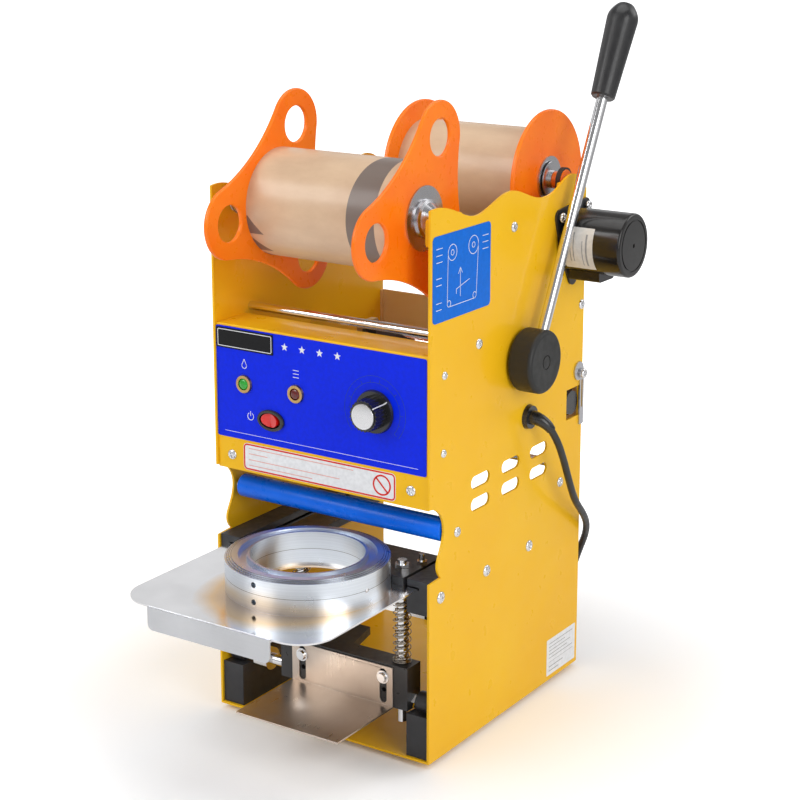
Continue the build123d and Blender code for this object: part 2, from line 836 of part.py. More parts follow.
with BuildPart() as lever_hub:
    with BuildSketch(side_plane(hub_inner_x)):
        with Locations((pivot_y, pivot_z)):
            Circle(hub_radius)
    extrude(amount=hub_outer_x - hub_inner_x)
    fillet(lever_hub.faces().sort_by(Axis.X)[-1].edges(), 4)
    fillet(lever_hub.faces().sort_by(Axis.X)[0].edges(), 3)
    with BuildSketch(side_plane(hub_outer_x)):
        with Locations((pivot_y, pivot_z)):
            Circle(6.4)
            Circle(5.4, mode=Mode.SUBTRACT)
    extrude(amount=-0.7, mode=Mode.SUBTRACT)
    with BuildSketch(side_plane(hub_inner_x)):
        with Locations((pivot_y, pivot_z)):
            Circle(shaft_radius)
    extrude(amount=hub_outer_x - 7 - hub_inner_x, mode=Mode.SUBTRACT)
    add(lever_turned(rod_profile), mode=Mode.SUBTRACT)
lever_hub.part.label = "lever_hub"
export_step(lever_hub.part, "parts/lever_hub.step")


with BuildPart() as lever_rod:
    add(lever_turned(rod_profile))
lever_rod.part.label = "lever_rod"
export_step(lever_rod.part, "parts/lever_rod.step")

with BuildPart() as lever_grip:
    with BuildSketch(lever_plane):
        with BuildLine():
            Polyline((grip_start, lever_rod_radius), (grip_start, 9.5), (grip_start + 1.5, 10.8),
                     (grip_start + 66, 13.6))
            Spline((grip_start + 66, 13.6), (grip_start + 78, 13.2), (grip_start + 86, 8.5),
                   (lever_length, 0), tangents=((1, 0.03), (0, -1)))
            Polyline((lever_length, 0), (grip_start + grip_socket, 0),
                     (grip_start + grip_socket, lever_rod_radius), (grip_start, lever_rod_radius))
        make_face()
    revolve(axis=Axis(lever_plane.origin, lever_plane.x_dir))
lever_grip.part.label = "lever_grip"
export_step(lever_grip.part, "parts/lever_grip.step")

# ---------------------------------------------------------------- sealing head

post_spots = [(station_x + side * post_spread, post_y) for side in (-1, 1)]
with BuildPart() as head_guide:
    with BuildSketch(level_plane(bridge_low)):
        with Locations((0, post_y)):
            Rectangle(2 * inner, 20)
        with Locations(post_spots):
            Circle(post_radius + hole_clearance, mode=Mode.SUBTRACT)
    extrude(amount=10)
    with BuildSketch(level_plane(post_foot)):
        with Locations(post_spots):
            Circle(post_radius)
    extrude(amount=bridge_low + 12 - post_foot)
head_guide.part.label = "head_guide"
export_step(head_guide.part, "parts/head_guide.step")

pin_reach = cos(radians(lever_throw - crank_angle))
yoke_slot_y = pivot_y - crank_length * (1 + pin_reach) / 2
yoke_slot_long = crank_length * (1 - pin_reach) + 2 * crank_pin + 4.2
yoke_slot_tall = 2 * (crank_pin + 1.6)
yoke_top = crank_z + yoke_slot_tall / 2 + 2.2
with BuildPart() as head_block:
    with BuildSketch(level_plane(head_low)):
        with Locations((station_x, (58 + 140) / 2)):
            RectangleRounded(2 * post_spread + 20, 82, 6)
        with Locations(post_spots):
            Circle(post_radius + hole_clearance, mode=Mode.SUBTRACT)
    extrude(amount=head_high - head_low)
    for side in (-1, 1):
        yoke_x = station_x + side * (crank_out + crank_gauge / 2 + yoke_gap)
        with BuildSketch(side_plane(yoke_x)):
            with BuildLine():
                Polyline((yoke_slot_y - 16, head_high), (yoke_slot_y - 16, yoke_top),
                         (yoke_slot_y + 7, yoke_top), (yoke_slot_y + 16, yoke_top - 9),
                         (yoke_slot_y + 16, head_high), (yoke_slot_y - 16, head_high))
            make_face()
            with Locations((yoke_slot_y, crank_z)):
                SlotOverall(yoke_slot_long, yoke_slot_tall, mode=Mode.SUBTRACT)
        extrude(amount=side * yoke_gauge)
head_block.part.label = "head_block"
export_step(head_block.part, "parts/head_block.step")

cutter_inner = 50.7
cutter_outer = 54.0
cutter_low = 220.0
heater_low = 222.5
heater_gauge = 14.0
with BuildPart() as heater_plate:
    with BuildSketch(level_plane(heater_low)):
        with Locations((station_x, station_y)):
            Circle(cutter_inner - 0.6)
    extrude(amount=heater_gauge)
    with BuildSketch(level_plane(heater_low + heater_gauge)):
        with Locations((station_x, station_y)):
            with PolarLocations(28, 3):
                Circle(4)
    extrude(amount=head_low - heater_low - heater_gauge)
heater_plate.part.label = "heater_plate"
export_step(heater_plate.part, "parts/heater_plate.step")

with BuildPart() as cutter_ring:
    with BuildSketch(level_plane(cutter_low)):
        with Locations((station_x, station_y)):
            Circle(cutter_outer)
            Circle(cutter_inner, mode=Mode.SUBTRACT)
    extrude(amount=head_low - cutter_low)
cutter_ring.part.label = "cutter_ring"
export_step(cutter_ring.part, "parts/cutter_ring.step")

with BuildPart() as head_springs:
    for side in (-1, 1):
        foot = at(station_x + side * 38, post_y, head_high + 1.2)
        add(coil_spring(foot, (0, 0, 1), 3.4, bridge_low - head_high - 2.4, 5, 0.8))
head_springs.part.label = "head_springs"
export_step(head_springs.part, "parts/head_springs.step")

# ---------------------------------------------------------------- cup slide

rod_spots = [(lifter_x + side * rod_spread, rod_y) for side in (-1, 1)]
stud_spots = [(lifter_x + side * 60, 34.0) for side in (-1, 1)]
stud_radius = 2.5
with BuildPart() as tray_plate:
    with BuildSketch(level_plane(tray_top - tray_gauge)):
        with Locations((0, (tray_front + tray_back) / 2)):
            Rectangle(2 * tray_half, tray_back - tray_front)
        with Locations((station_x, ring_y)):
            Circle(cup_hole, mode=Mode.SUBTRACT)
        with Locations(rod_spots):
            Circle(rod_radius, mode=Mode.SUBTRACT)
    extrude(amount=tray_gauge)
    fillet(tray_plate.edges().filter_by(Axis.Z).group_by(Axis.Y)[0], 30)
tray_plate.part.label = "tray_plate"
export_step(tray_plate.part, "parts/tray_plate.step")

handle_drop = 20.0
with BuildPart() as tray_handle:
    with BuildSketch(side_plane(-62.5)):
        with BuildLine():
            Polyline((tray_front - 1.5, tray_top - 0.5), (tray_front - 1.5, tray_top - handle_drop),
                     (tray_front, tray_top - handle_drop), (tray_front, tray_top - 3),
                     (tray_front + 22, tray_top - 3), (tray_front + 22, tray_top - tray_gauge),
                     (tray_front, tray_top - tray_gauge), (tray_front, tray_top - 0.5),
                     (tray_front - 1.5, tray_top - 0.5))
        make_face()
    extrude(amount=122.5)
    fillet(tray_handle.edges().filter_by(Axis.Y).group_by(Axis.Z)[0], 5)
tray_handle.part.label = "tray_handle"
export_step(tray_handle.part, "parts/tray_handle.step")

ring_axis = Axis(at(station_x, ring_y, 0), (0, 0, 1))
ring_plane = Plane(origin=at(station_x, ring_y, 0), x_dir=(1, 0, 0), z_dir=(0, -1, 0))
side_hole_angle = 267.0
side_hole_radius = 2.4


def side_hole_plane(z):
    """A plane outside the ring that faces its axis at the angle of the two tommy holes."""
    angle = radians(side_hole_angle)
    centre = at(station_x + ring_radius * cos(angle), ring_y + ring_radius * sin(angle), z)
    return Plane(origin=centre, z_dir=(-cos(angle), -sin(angle), 0))


with BuildPart() as lower_ring:
    with BuildSketch(ring_plane):
        with BuildLine():
            Polyline((ring_bore, tray_top), (ring_radius, tray_top), (ring_radius, ring_split),
                     (ring_bore, ring_split), (ring_bore, tray_top))
        make_face()
    revolve(axis=ring_axis)
    with BuildSketch(side_hole_plane((tray_top + ring_split) / 2)):
        Circle(side_hole_radius)
    extrude(amount=10, mode=Mode.SUBTRACT)
lower_ring.part.label = "lower_ring"
export_step(lower_ring.part, "parts/lower_ring.step")

step = 1.7
with BuildPart() as upper_ring:
    with BuildSketch(ring_plane):
        with BuildLine():
            Polyline((ring_bore, ring_split), (ring_radius, ring_split),
                     (ring_radius, ring_top - 2.1), (ring_radius - step, ring_top - 2.1),
                     (ring_radius - step, ring_top - 1.4), (ring_radius - 2 * step, ring_top - 1.4),
                     (ring_radius - 2 * step, ring_top - 0.7),
                     (ring_radius - 3 * step, ring_top - 0.7), (ring_radius - 3 * step, ring_top),
                     (ring_radius - 11, ring_top), (ring_radius - 12, ring_top - 5),
                     (ring_bore + 2.6, ring_top - 5), (ring_bore + 2, ring_top),
                     (ring_bore, ring_top), (ring_bore, ring_split))
        make_face()
    revolve(axis=ring_axis)
    with BuildSketch(side_hole_plane((ring_split + ring_top) / 2)):
        Circle(side_hole_radius)
    extrude(amount=10, mode=Mode.SUBTRACT)
upper_ring.part.label = "upper_ring"
export_step(upper_ring.part, "parts/upper_ring.step")

carriage_left, carriage_right = -70.0, 84.5
carriage_back = 60.0
arm_width = 29.0
arm_back = 112.0
with BuildPart() as carriage_plate:
    with BuildSketch(level_plane(tray_top)):
        with BuildLine():
            Polyline((carriage_left, 0), (carriage_right, 0), (carriage_right, carriage_back),
                     (carriage_left + arm_width, carriage_back), (carriage_left + arm_width, arm_back),
                     (carriage_left, arm_back), (carriage_left, 0))
        make_face()
        with Locations((station_x, ring_y)):
            Circle(ring_radius + 0.6, mode=Mode.SUBTRACT)
        with Locations(rod_spots):
            Circle(rod_radius, mode=Mode.SUBTRACT)
    extrude(amount=carriage_top - tray_top)
carriage_plate.part.label = "carriage_plate"
export_step(carriage_plate.part, "parts/carriage_plate.step")

rod_foot = 25.0
with BuildPart() as lift_rods:
    with BuildSketch(level_plane(rod_foot)):
        with Locations(rod_spots):
            Circle(rod_radius)
    extrude(amount=carriage_top + 9 - rod_foot)
    with BuildSketch(level_plane(carriage_top)):
        with Locations(rod_spots):
            RegularPolygon(6.6, 6)
    extrude(amount=5.5)
    with BuildSketch(level_plane(carriage_top)):
        with Locations(stud_spots):
            Circle(stud_radius)
    extrude(amount=10)
    with BuildSketch(level_plane(carriage_top)):
        with Locations(stud_spots):
            RegularPolygon(4.8, 6)
    extrude(amount=4)
lift_rods.part.label = "lift_rods"
export_step(lift_rods.part, "parts/lift_rods.step")

spring_top = tray_top - tray_gauge
inner_wire, outer_wire = 0.9, 0.45
with BuildPart() as lifter_springs:
    for x, y in rod_spots:
        foot = at(x, y, bar_high + inner_wire + 0.4)
        add(coil_spring(foot, (0, 0, 1), 4.4, spring_top - bar_high - 2.8, 5.3, inner_wire))
        add(coil_spring(foot, (0, 0, 1), 5.6, spring_top - bar_high - 2.2, 7.8, outer_wire))
lifter_springs.part.label = "lifter_springs"
export_step(lifter_springs.part, "parts/lifter_springs.step")

# ---------------------------------------------------------------- cup lifter

bar_left, bar_right = -46.0, 85.5
rest_slots = (-22.0, 62.0)
rest_screw_z = 66.0
with BuildPart() as crossbar:
    with BuildSketch(level_plane(bar_low)):
        with Locations(((bar_left + bar_right) / 2, (bar_front + bar_back) / 2)):
            Rectangle(bar_right - bar_left, bar_back - bar_front)
        with Locations(rod_spots):
            Circle(rod_radius + hole_clearance, mode=Mode.SUBTRACT)
    extrude(amount=bar_high - bar_low)
    with BuildSketch(level_plane(bar_high - 7)):
        with BuildLine():
            Polyline((-35, bar_back), (17, bar_back), (9, 62), (-35, 62), (-35, bar_back))
        make_face()
    extrude(amount=7)
    with BuildSketch(front_plane(bar_front)):
        with Locations([(x, z) for x in rest_slots for z in (rest_screw_z, 54)]):
            Circle(2.2)
    extrude(amount=-10, mode=Mode.SUBTRACT)
crossbar.part.label = "crossbar"
export_step(crossbar.part, "parts/crossbar.step")

rest_left, rest_right = -33.0, 71.5
rest_gauge = 1.5
rest_low = 39.5
tongue_front = -76.0
with BuildPart() as cup_rest:
    with BuildSketch(side_plane(rest_left)):
        with BuildLine():
            Polyline((tongue_front, rest_low), (bar_front, rest_low), (bar_front, 76),
                     (bar_front - rest_gauge, 76), (bar_front - rest_gauge, rest_low + rest_gauge),
                     (tongue_front, rest_low + rest_gauge), (tongue_front, rest_low))
        make_face()
    extrude(amount=rest_right - rest_left)
    with BuildSketch(front_plane(bar_front)):
        with Locations([Location((x, 58.2), 90) for x in rest_slots]):
            SlotOverall(30.5, 7)
    extrude(amount=rest_gauge, mode=Mode.SUBTRACT)
cup_rest.part.label = "cup_rest"
export_step(cup_rest.part, "parts/cup_rest.step")

pin_at = rod_y - 1
pin_end = 105.0
with BuildPart() as lifter_pins:
    with BuildSketch(side_plane(bar_right)):
        with Locations((pin_at, pin_z)):
            Circle(pin_radius)
    extrude(amount=pin_end - bar_right)
    with BuildSketch(side_plane(bar_right)):
        with Locations((pin_at, pin_z)):
            RegularPolygon(7.2, 6)
    extrude(amount=5)
    with BuildSketch(side_plane(-pin_end)):
        with Locations((pin_at, pin_z)):
            Circle(pin_radius)
    extrude(amount=pin_end + bar_left)
    with BuildSketch(side_plane(-77)):
        with Locations((pin_at, pin_z)):
            Circle(10)
    extrude(amount=14)
    with BuildSketch(front_plane(bar_front - rest_gauge)):
        with Locations([(x, rest_screw_z) for x in rest_slots]):
            Circle(5.8)
    extrude(amount=0.8)
    with BuildSketch(front_plane(bar_front - rest_gauge - 0.8)):
        with Locations([(x, rest_screw_z) for x in rest_slots]):
            Circle(4.6)
    extrude(amount=2.6, taper=18)
    with BuildSketch(front_plane(bar_front - rest_gauge)):
        with Locations([(x, rest_screw_z) for x in rest_slots]):
            Circle(2.2)
    extrude(amount=-8)
lifter_pins.part.label = "lifter_pins"
export_step(lifter_pins.part, "parts/lifter_pins.step")

with BuildPart() as lifter_rollers:
    for x in (-103.5, 92.5):
        with BuildSketch(side_plane(x)):
            with Locations((pin_at, pin_z)):
                Circle(lift_roller_radius)
                Circle(pin_radius + hole_clearance, mode=Mode.SUBTRACT)
        extrude(amount=11)
lifter_rollers.part.label = "lifter_rollers"
export_step(lifter_rollers.part, "parts/lifter_rollers.step")

# ---------------------------------------------------------------- mains lead

relief_bend = 16.0
relief_turn = 75.0
gland_face = half + 4.0
down_y, down_z = 0.5, -0.866


def relief_point(turn, bend):
    """A point of the strain relief's centre line, turning from +x towards down and back."""
    out = bend * sin(radians(turn))
    away = bend * (1 - cos(radians(turn)))
    return at(gland_face + out, gland_y + away * down_y, gland_z + away * down_z)


def relief_heading(turn):
    """The direction of the strain relief's centre line after a turn."""
    return Vector(cos(radians(turn)), sin(radians(turn)) * down_y, sin(radians(turn)) * down_z)


relief_steps = (0, 25, 50, 75)
with BuildPart() as cable_gland:
    with BuildSketch(side_plane(inner - 3)):
        with Locations((gland_y, gland_z)):
            Circle(8)
    extrude(amount=half - inner + 3)
    with BuildSketch(side_plane(half)):
        with Locations((gland_y, gland_z)):
            Circle(11)
    extrude(amount=gland_face - half, taper=12)
    for turn in relief_steps:
        size = 6.6 - 2.4 * turn / relief_turn
        with BuildSketch(Plane(origin=relief_point(turn, relief_bend), z_dir=relief_heading(turn))):
            Circle(size)
    loft()
cable_gland.part.label = "cable_gland"
export_step(cable_gland.part, "parts/cable_gland.step")

cord_exit = relief_point(relief_turn, relief_bend)
route = [
    cord_exit,
    at(132.6, 169.7, 242.7),
    at(132.6, 181.5, 223),
    at(131.5, 195, 198),
    at(129, 211, 175),
    at(125, 232, 158.5),
    at(118.5, 255, 140),
    at(109, 272, 121),
    at(98, 279.5, 100),
    at(90, 280.5, 76),
    at(83, 280, 52),
    at(76.5, 279, 33),
    at(65.5, 278, 18.5),
    at(51, 276.8, 7.5),
    at(34.5, 275.9, 1),
    at(17.5, 275.2, floor_z + cord_radius),
    at(coil_x, coil_y - coil_outer_turn, floor_z + cord_radius),
]
corners = [Vector(*point) for point in route]
runs = [corners[i + 1] - corners[i] for i in range(len(corners) - 1)]
bends = []
for before, after in zip(runs, runs[1:]):
    half_turn = radians(before.get_angle(after) / 2)
    bends.append(0.45 * min(before.length, after.length) / tan(half_turn))
print("cord bend radii:", [round(bend, 1) for bend in bends])

with BuildPart() as power_cord:
    with BuildLine():
        lead = FilletPolyline(*route, radius=bends)
    with BuildSketch(Plane(origin=lead @ 0, z_dir=lead % 0)):
        Circle(cord_radius)
    sweep(path=lead.edges())
print("cord length:", round(lead.length, 1), "section x length:",
      round(pi * cord_radius ** 2 * lead.length, 1), "volume:", round(power_cord.part.volume, 1))
power_cord.part.label = "power_cord"
export_step(power_cord.part, "parts/power_cord.step")

with BuildPart() as cord_coil:
    with BuildSketch(level_plane(floor_z)):
        with Locations((coil_x, coil_y)):
            Circle(coil_outer_turn + cord_radius)
            Circle(coil_outer_turn - (coil_turns_wide - 1) * coil_turn_step - cord_radius,
                   mode=Mode.SUBTRACT)
    extrude(amount=4 * cord_radius)
cord_coil.part.label = "cord_coil"
export_step(cord_coil.part, "parts/cord_coil.step")

plug_z = floor_z + 9.0
plug_y = coil_y - coil_outer_turn
plug_plane = Plane(origin=at(-12, plug_y, plug_z), x_dir=(0, 1, 0), z_dir=(-1, 0, 0))
with BuildPart() as power_plug:
    with BuildSketch(plug_plane):
        Circle(cord_radius + 0.4)
    with BuildSketch(plug_plane.offset(24)):
        Circle(5.4)
    loft()
    with BuildSketch(plug_plane.offset(24)):
        RectangleRounded(17, 17, 4)
    with BuildSketch(plug_plane.offset(52)):
        RectangleRounded(24, 18, 4)
    loft()
    with BuildSketch(plug_plane.offset(52)):
        with Locations((-6, 0), (6, 0)):
            Rectangle(1.6, 6.4)
    extrude(amount=17)
power_plug.part.label = "power_plug"
export_step(power_plug.part, "parts/power_plug.step")
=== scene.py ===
"""Looks of the cup sealing machine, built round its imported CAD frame."""
import math

import bmesh
import bpy
from mathutils import Matrix, Vector


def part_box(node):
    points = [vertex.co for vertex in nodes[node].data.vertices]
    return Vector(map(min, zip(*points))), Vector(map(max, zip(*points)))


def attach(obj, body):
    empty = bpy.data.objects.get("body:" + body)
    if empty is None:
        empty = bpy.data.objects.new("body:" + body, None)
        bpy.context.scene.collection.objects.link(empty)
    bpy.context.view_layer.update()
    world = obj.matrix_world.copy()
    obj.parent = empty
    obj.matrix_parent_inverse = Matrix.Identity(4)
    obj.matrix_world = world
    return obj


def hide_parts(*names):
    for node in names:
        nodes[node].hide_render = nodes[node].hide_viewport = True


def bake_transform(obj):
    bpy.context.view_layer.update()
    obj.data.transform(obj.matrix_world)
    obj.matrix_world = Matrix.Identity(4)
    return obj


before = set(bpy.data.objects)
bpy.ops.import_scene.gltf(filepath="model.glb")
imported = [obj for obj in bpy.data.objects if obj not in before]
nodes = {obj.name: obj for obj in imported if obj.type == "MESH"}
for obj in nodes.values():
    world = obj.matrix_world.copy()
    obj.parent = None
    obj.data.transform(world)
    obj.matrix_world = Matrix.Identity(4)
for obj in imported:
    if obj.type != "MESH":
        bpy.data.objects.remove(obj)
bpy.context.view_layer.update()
MM = 0.001
SAME_POINT = 0.000001

left_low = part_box("left_side_plate")[0]
right_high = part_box("right_side_plate")[1]
MIDDLE_X = (left_low.x + right_high.x) / 2
FRONT_Y = left_low.y
BOTTOM_Z = left_low.z
HALF_WIDTH = (right_high.x - left_low.x) / 2 / MM


def at(x, y, z):
    """A point of the body's own grid in millimetres: x from its middle, y back, z up."""
    return Vector((MIDDLE_X + x * MM, FRONT_Y + y * MM, BOTTOM_Z + z * MM))


def centre_of(node):
    """The middle of a CAD node's box."""
    low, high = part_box(node)
    return (low + high) / 2


# ------------------------------------------------------------------ camera and light

CAMERA_PLACE = (893.8, -1223.1, 734.5)
CAMERA_DOWN = math.radians(13.19)
CAMERA_TURN = math.radians(33.59)
CAMERA_LENS = 85.6
CAMERA_SENSOR = 36.0
CAMERA_SHIFT = -0.12
CAMERA_REACH = 50


def make_camera():
    """A product view from the right front, looking down on the cup slide."""
    camera = bpy.data.objects.new("camera", bpy.data.cameras.new("camera"))
    bpy.context.scene.collection.objects.link(camera)
    camera.location = at(*CAMERA_PLACE)
    camera.rotation_euler = (math.pi / 2 - CAMERA_DOWN, 0, CAMERA_TURN)
    camera.data.lens = CAMERA_LENS
    camera.data.shift_y = CAMERA_SHIFT
    camera.data.sensor_width = CAMERA_SENSOR
    camera.data.clip_end = CAMERA_REACH
    bpy.context.scene.camera = camera


def area_light(name, place, target, size, power):
    """A soft box at one place that faces another."""
    data = bpy.data.lights.new(name, "AREA")
    data.shape = "RECTANGLE"
    data.size, data.size_y = size
    data.energy = power
    lamp = bpy.data.objects.new(name, data)
    bpy.context.scene.collection.objects.link(lamp)
    lamp.location = place
    lamp.rotation_euler = (Vector(target) - Vector(place)).to_track_quat("-Z", "Y").to_euler()


def white_backdrop(tree, shader, output):
    """Shows plain white to the camera and keeps the shader for light and reflections."""
    path = tree.nodes.new("ShaderNodeLightPath")
    white = tree.nodes.new("ShaderNodeBackground")
    white.inputs["Color"].default_value = (1, 1, 1, 1)
    choice = tree.nodes.new("ShaderNodeMixShader")
    tree.links.new(path.outputs["Is Camera Ray"], choice.inputs["Fac"])
    tree.links.new(shader.outputs[0], choice.inputs[1])
    tree.links.new(white.outputs[0], choice.inputs[2])
    tree.links.new(choice.outputs[0], output.inputs["Surface"])


SKY_LOW, SKY_HIGH = (0.45, 0.45, 0.46, 1), (0.75, 0.75, 0.76, 1)
SKY_BANDS = ((0.05, 0.7), (0.20, 1.2), (0.38, 1.5), (0.50, 0.55), (0.85, 0.45))
SKY_STRENGTH = 0.58


def make_world():
    """A grey sky with darker and lighter bands for the metal to mirror."""
    world = bpy.data.worlds.new("studio")
    bpy.context.scene.world = world
    world.use_nodes = True
    tree = world.node_tree
    background = tree.nodes["Background"]
    coords = tree.nodes.new("ShaderNodeTexCoord")
    split = tree.nodes.new("ShaderNodeSeparateXYZ")
    ramp = tree.nodes.new("ShaderNodeValToRGB")
    tree.links.new(coords.outputs["Generated"], split.inputs[0])
    tree.links.new(split.outputs["Z"], ramp.inputs["Fac"])
    tree.links.new(ramp.outputs["Color"], background.inputs["Color"])
    stops = ramp.color_ramp.elements
    stops[0].position, stops[0].color = 0.0, SKY_LOW
    stops[1].position, stops[1].color = 1.0, SKY_HIGH
    for place, grey in SKY_BANDS:
        stop = stops.new(place)
        stop.color = (grey, grey, grey * 1.01, 1)
    background.inputs["Strength"].default_value = SKY_STRENGTH
    white_backdrop(tree, background, tree.nodes["World Output"])


FLOOR_SIZE = 40
FLOOR_WHITE = 0.9
FLOOR_SEEN = 1.1
GLOW_STARTS, GLOW_FULL = 0.25, 0.9
GLOW_NEAR, GLOW_FAR = 0.02, 0.95


def make_floor():
    """A wide white floor that takes the machine's soft shadow and glows to white away from it."""
    bpy.ops.mesh.primitive_plane_add(size=FLOOR_SIZE, location=(0, 0, 0))
    floor = bpy.context.object
    floor.name = "floor"
    material = bpy.data.materials.new("floor")
    material.use_nodes = True
    tree = material.node_tree
    shader = tree.nodes["Principled BSDF"]
    shader.inputs["Base Color"].default_value = (FLOOR_WHITE, FLOOR_WHITE, FLOOR_WHITE, 1)
    shader.inputs["Roughness"].default_value = 0.7
    shader.inputs["Specular IOR Level"].default_value = 0.1
    path = tree.nodes.new("ShaderNodeLightPath")
    lift = tree.nodes.new("ShaderNodeEmission")
    coords = tree.nodes.new("ShaderNodeTexCoord")
    reach = tree.nodes.new("ShaderNodeVectorMath")
    reach.operation = "LENGTH"
    spread = tree.nodes.new("ShaderNodeMapRange")
    for key, number in (("From Min", GLOW_STARTS), ("From Max", GLOW_FULL),
                        ("To Min", GLOW_NEAR), ("To Max", GLOW_FAR)):
        spread.inputs[key].default_value = number
    tree.links.new(coords.outputs["Object"], reach.inputs[0])
    tree.links.new(reach.outputs["Value"], spread.inputs["Value"])
    tree.links.new(spread.outputs["Result"], lift.inputs["Strength"])
    seen = tree.nodes.new("ShaderNodeBsdfDiffuse")
    seen.inputs["Color"].default_value = (FLOOR_SEEN, FLOOR_SEEN, FLOOR_SEEN, 1)
    total = tree.nodes.new("ShaderNodeAddShader")
    choice = tree.nodes.new("ShaderNodeMixShader")
    tree.links.new(seen.outputs[0], total.inputs[0])
    tree.links.new(lift.outputs[0], total.inputs[1])
    tree.links.new(path.outputs["Is Camera Ray"], choice.inputs["Fac"])
    tree.links.new(shader.outputs[0], choice.inputs[1])
    tree.links.new(total.outputs[0], choice.inputs[2])
    tree.links.new(choice.outputs[0], tree.nodes["Material Output"].inputs["Surface"])
    floor.data.materials.append(material)


SOFT_BOXES = (
    ("key", (-900, -1500, 1500), (1.2, 1.0), 17),
    ("right", (1600, -500, 900), (0.9, 1.4), 11.5),
    ("top", (0, 200, 1900), (1.4, 1.4), 10),
    ("back", (1100, 1500, 1500), (1.0, 1.0), 6),
)
LIT_POINT = (0, 100, 230)


def make_studio():
    """The sky, the floor and four soft boxes."""
    for name, place, size, power in SOFT_BOXES:
        area_light(name, at(*place), at(*LIT_POINT), size, power)
    make_world()
    make_floor()
    bpy.context.scene.view_settings.view_transform = "Standard"


make_camera()
make_studio()


# ------------------------------------------------------------------ materials

class Finish:
    """A Principled material whose colour, roughness and bump come from procedural nodes."""

    def __init__(self, name, color, metallic=0.0, roughness=0.4, coat=0.0, coat_roughness=0.1):
        self.material = bpy.data.materials.new(name)
        self.material.use_nodes = True
        self.tree = self.material.node_tree
        self.shader = self.tree.nodes["Principled BSDF"]
        self.shader.inputs["Base Color"].default_value = (*color, 1)
        self.shader.inputs["Metallic"].default_value = metallic
        self.shader.inputs["Roughness"].default_value = roughness
        self.shader.inputs["Coat Weight"].default_value = coat
        self.shader.inputs["Coat Roughness"].default_value = coat_roughness
        self.coords = self.tree.nodes.new("ShaderNodeTexCoord").outputs["Object"]
        self.color = color
        self.material.diffuse_color = (*color, 1)

    def link(self, output, target):
        self.tree.links.new(output, target)

    def noise(self, scale, detail=3.0, stretch=(1, 1, 1), roughness=0.5):
        """Noise in object space; scale is in features per metre, stretch multiplies it by axis."""
        mapping = self.tree.nodes.new("ShaderNodeMapping")
        mapping.inputs["Scale"].default_value = stretch
        self.link(self.coords, mapping.inputs["Vector"])
        texture = self.tree.nodes.new("ShaderNodeTexNoise")
        texture.inputs["Scale"].default_value = scale
        texture.inputs["Detail"].default_value = detail
        texture.inputs["Roughness"].default_value = roughness
        self.link(mapping.outputs[0], texture.inputs["Vector"])
        return texture.outputs["Fac"]

    def math(self, operation, first, second=0.0, third=None):
        """One Math node; each input is a number or an output socket."""
        node = self.tree.nodes.new("ShaderNodeMath")
        node.operation = operation
        for index, value in enumerate((first, second, third)):
            if value is None:
                continue
            if isinstance(value, (int, float)):
                node.inputs[index].default_value = value
            else:
                self.link(value, node.inputs[index])
        return node.outputs[0]

    def spread(self, value, low, high, into_low, into_high):
        """Maps a value's range onto another range, clamped."""
        node = self.tree.nodes.new("ShaderNodeMapRange")
        for key, number in (("From Min", low), ("From Max", high),
                            ("To Min", into_low), ("To Max", into_high)):
            node.inputs[key].default_value = number
        self.link(value, node.inputs["Value"])
        return node.outputs["Result"]

    def between(self, value, low, high):
        """1 where a value lies between two limits, and 0 elsewhere."""
        return self.math("MULTIPLY", self.math("GREATER_THAN", value, low),
                         self.math("LESS_THAN", value, high))

    def mix(self, fac, first, second):
        """Mixes two colours; each is a colour or an output socket."""
        node = self.tree.nodes.new("ShaderNodeMix")
        node.data_type = "RGBA"
        if isinstance(fac, (int, float)):
            node.inputs["Factor"].default_value = fac
        else:
            self.link(fac, node.inputs["Factor"])
        for socket, value in ((node.inputs[6], first), (node.inputs[7], second)):
            if isinstance(value, tuple):
                socket.default_value = (*value, 1)
            else:
                self.link(value, socket)
        return node.outputs[2]

    def tint(self, fac, other, low=0.35, high=0.65):
        """Varies the base colour towards another colour where fac is high."""
        mixed = self.mix(self.spread(fac, low, high, 0, 1), self.color, other)
        self.link(mixed, self.shader.inputs["Base Color"])
        return self

    def paint(self, output):
        self.link(output, self.shader.inputs["Base Color"])
        return self

    def sheen_range(self, fac, low, high):
        """Varies the roughness between two values."""
        self.link(self.spread(fac, 0.3, 0.7, low, high), self.shader.inputs["Roughness"])
        return self

    def bump(self, height, depth, strength=1.0):
        """Bumps the surface by a height field; depth is in millimetres."""
        node = self.tree.nodes.new("ShaderNodeBump")
        node.inputs["Strength"].default_value = strength
        node.inputs["Distance"].default_value = depth * MM
        self.link(height, node.inputs["Height"])
        self.link(node.outputs[0], self.shader.inputs["Normal"])
        return self

    def radius_from(self, centre, axes):
        """Distance from an axis through a centre; axes are the two other axes' letters."""
        split = self.tree.nodes.new("ShaderNodeSeparateXYZ")
        self.link(self.coords, split.inputs[0])
        parts = [self.math("SUBTRACT", split.outputs[axis], centre["XYZ".index(axis)])
                 for axis in axes]
        squares = [self.math("MULTIPLY", part, part) for part in parts]
        return self.math("SQRT", self.math("ADD", *squares))

    def along(self, axis):
        """The object-space coordinate along one axis."""
        split = self.tree.nodes.new("ShaderNodeSeparateXYZ")
        self.link(self.coords, split.inputs[0])
        return split.outputs[axis]

    def grooves(self, value, per_metre):
        """A fine random line pattern that changes only with one value, such as a radius."""
        texture = self.tree.nodes.new("ShaderNodeTexNoise")
        texture.noise_dimensions = "1D"
        texture.inputs["Scale"].default_value = per_metre
        texture.inputs["Detail"].default_value = 4
        self.link(value, texture.inputs["W"])
        return texture.outputs["Fac"]


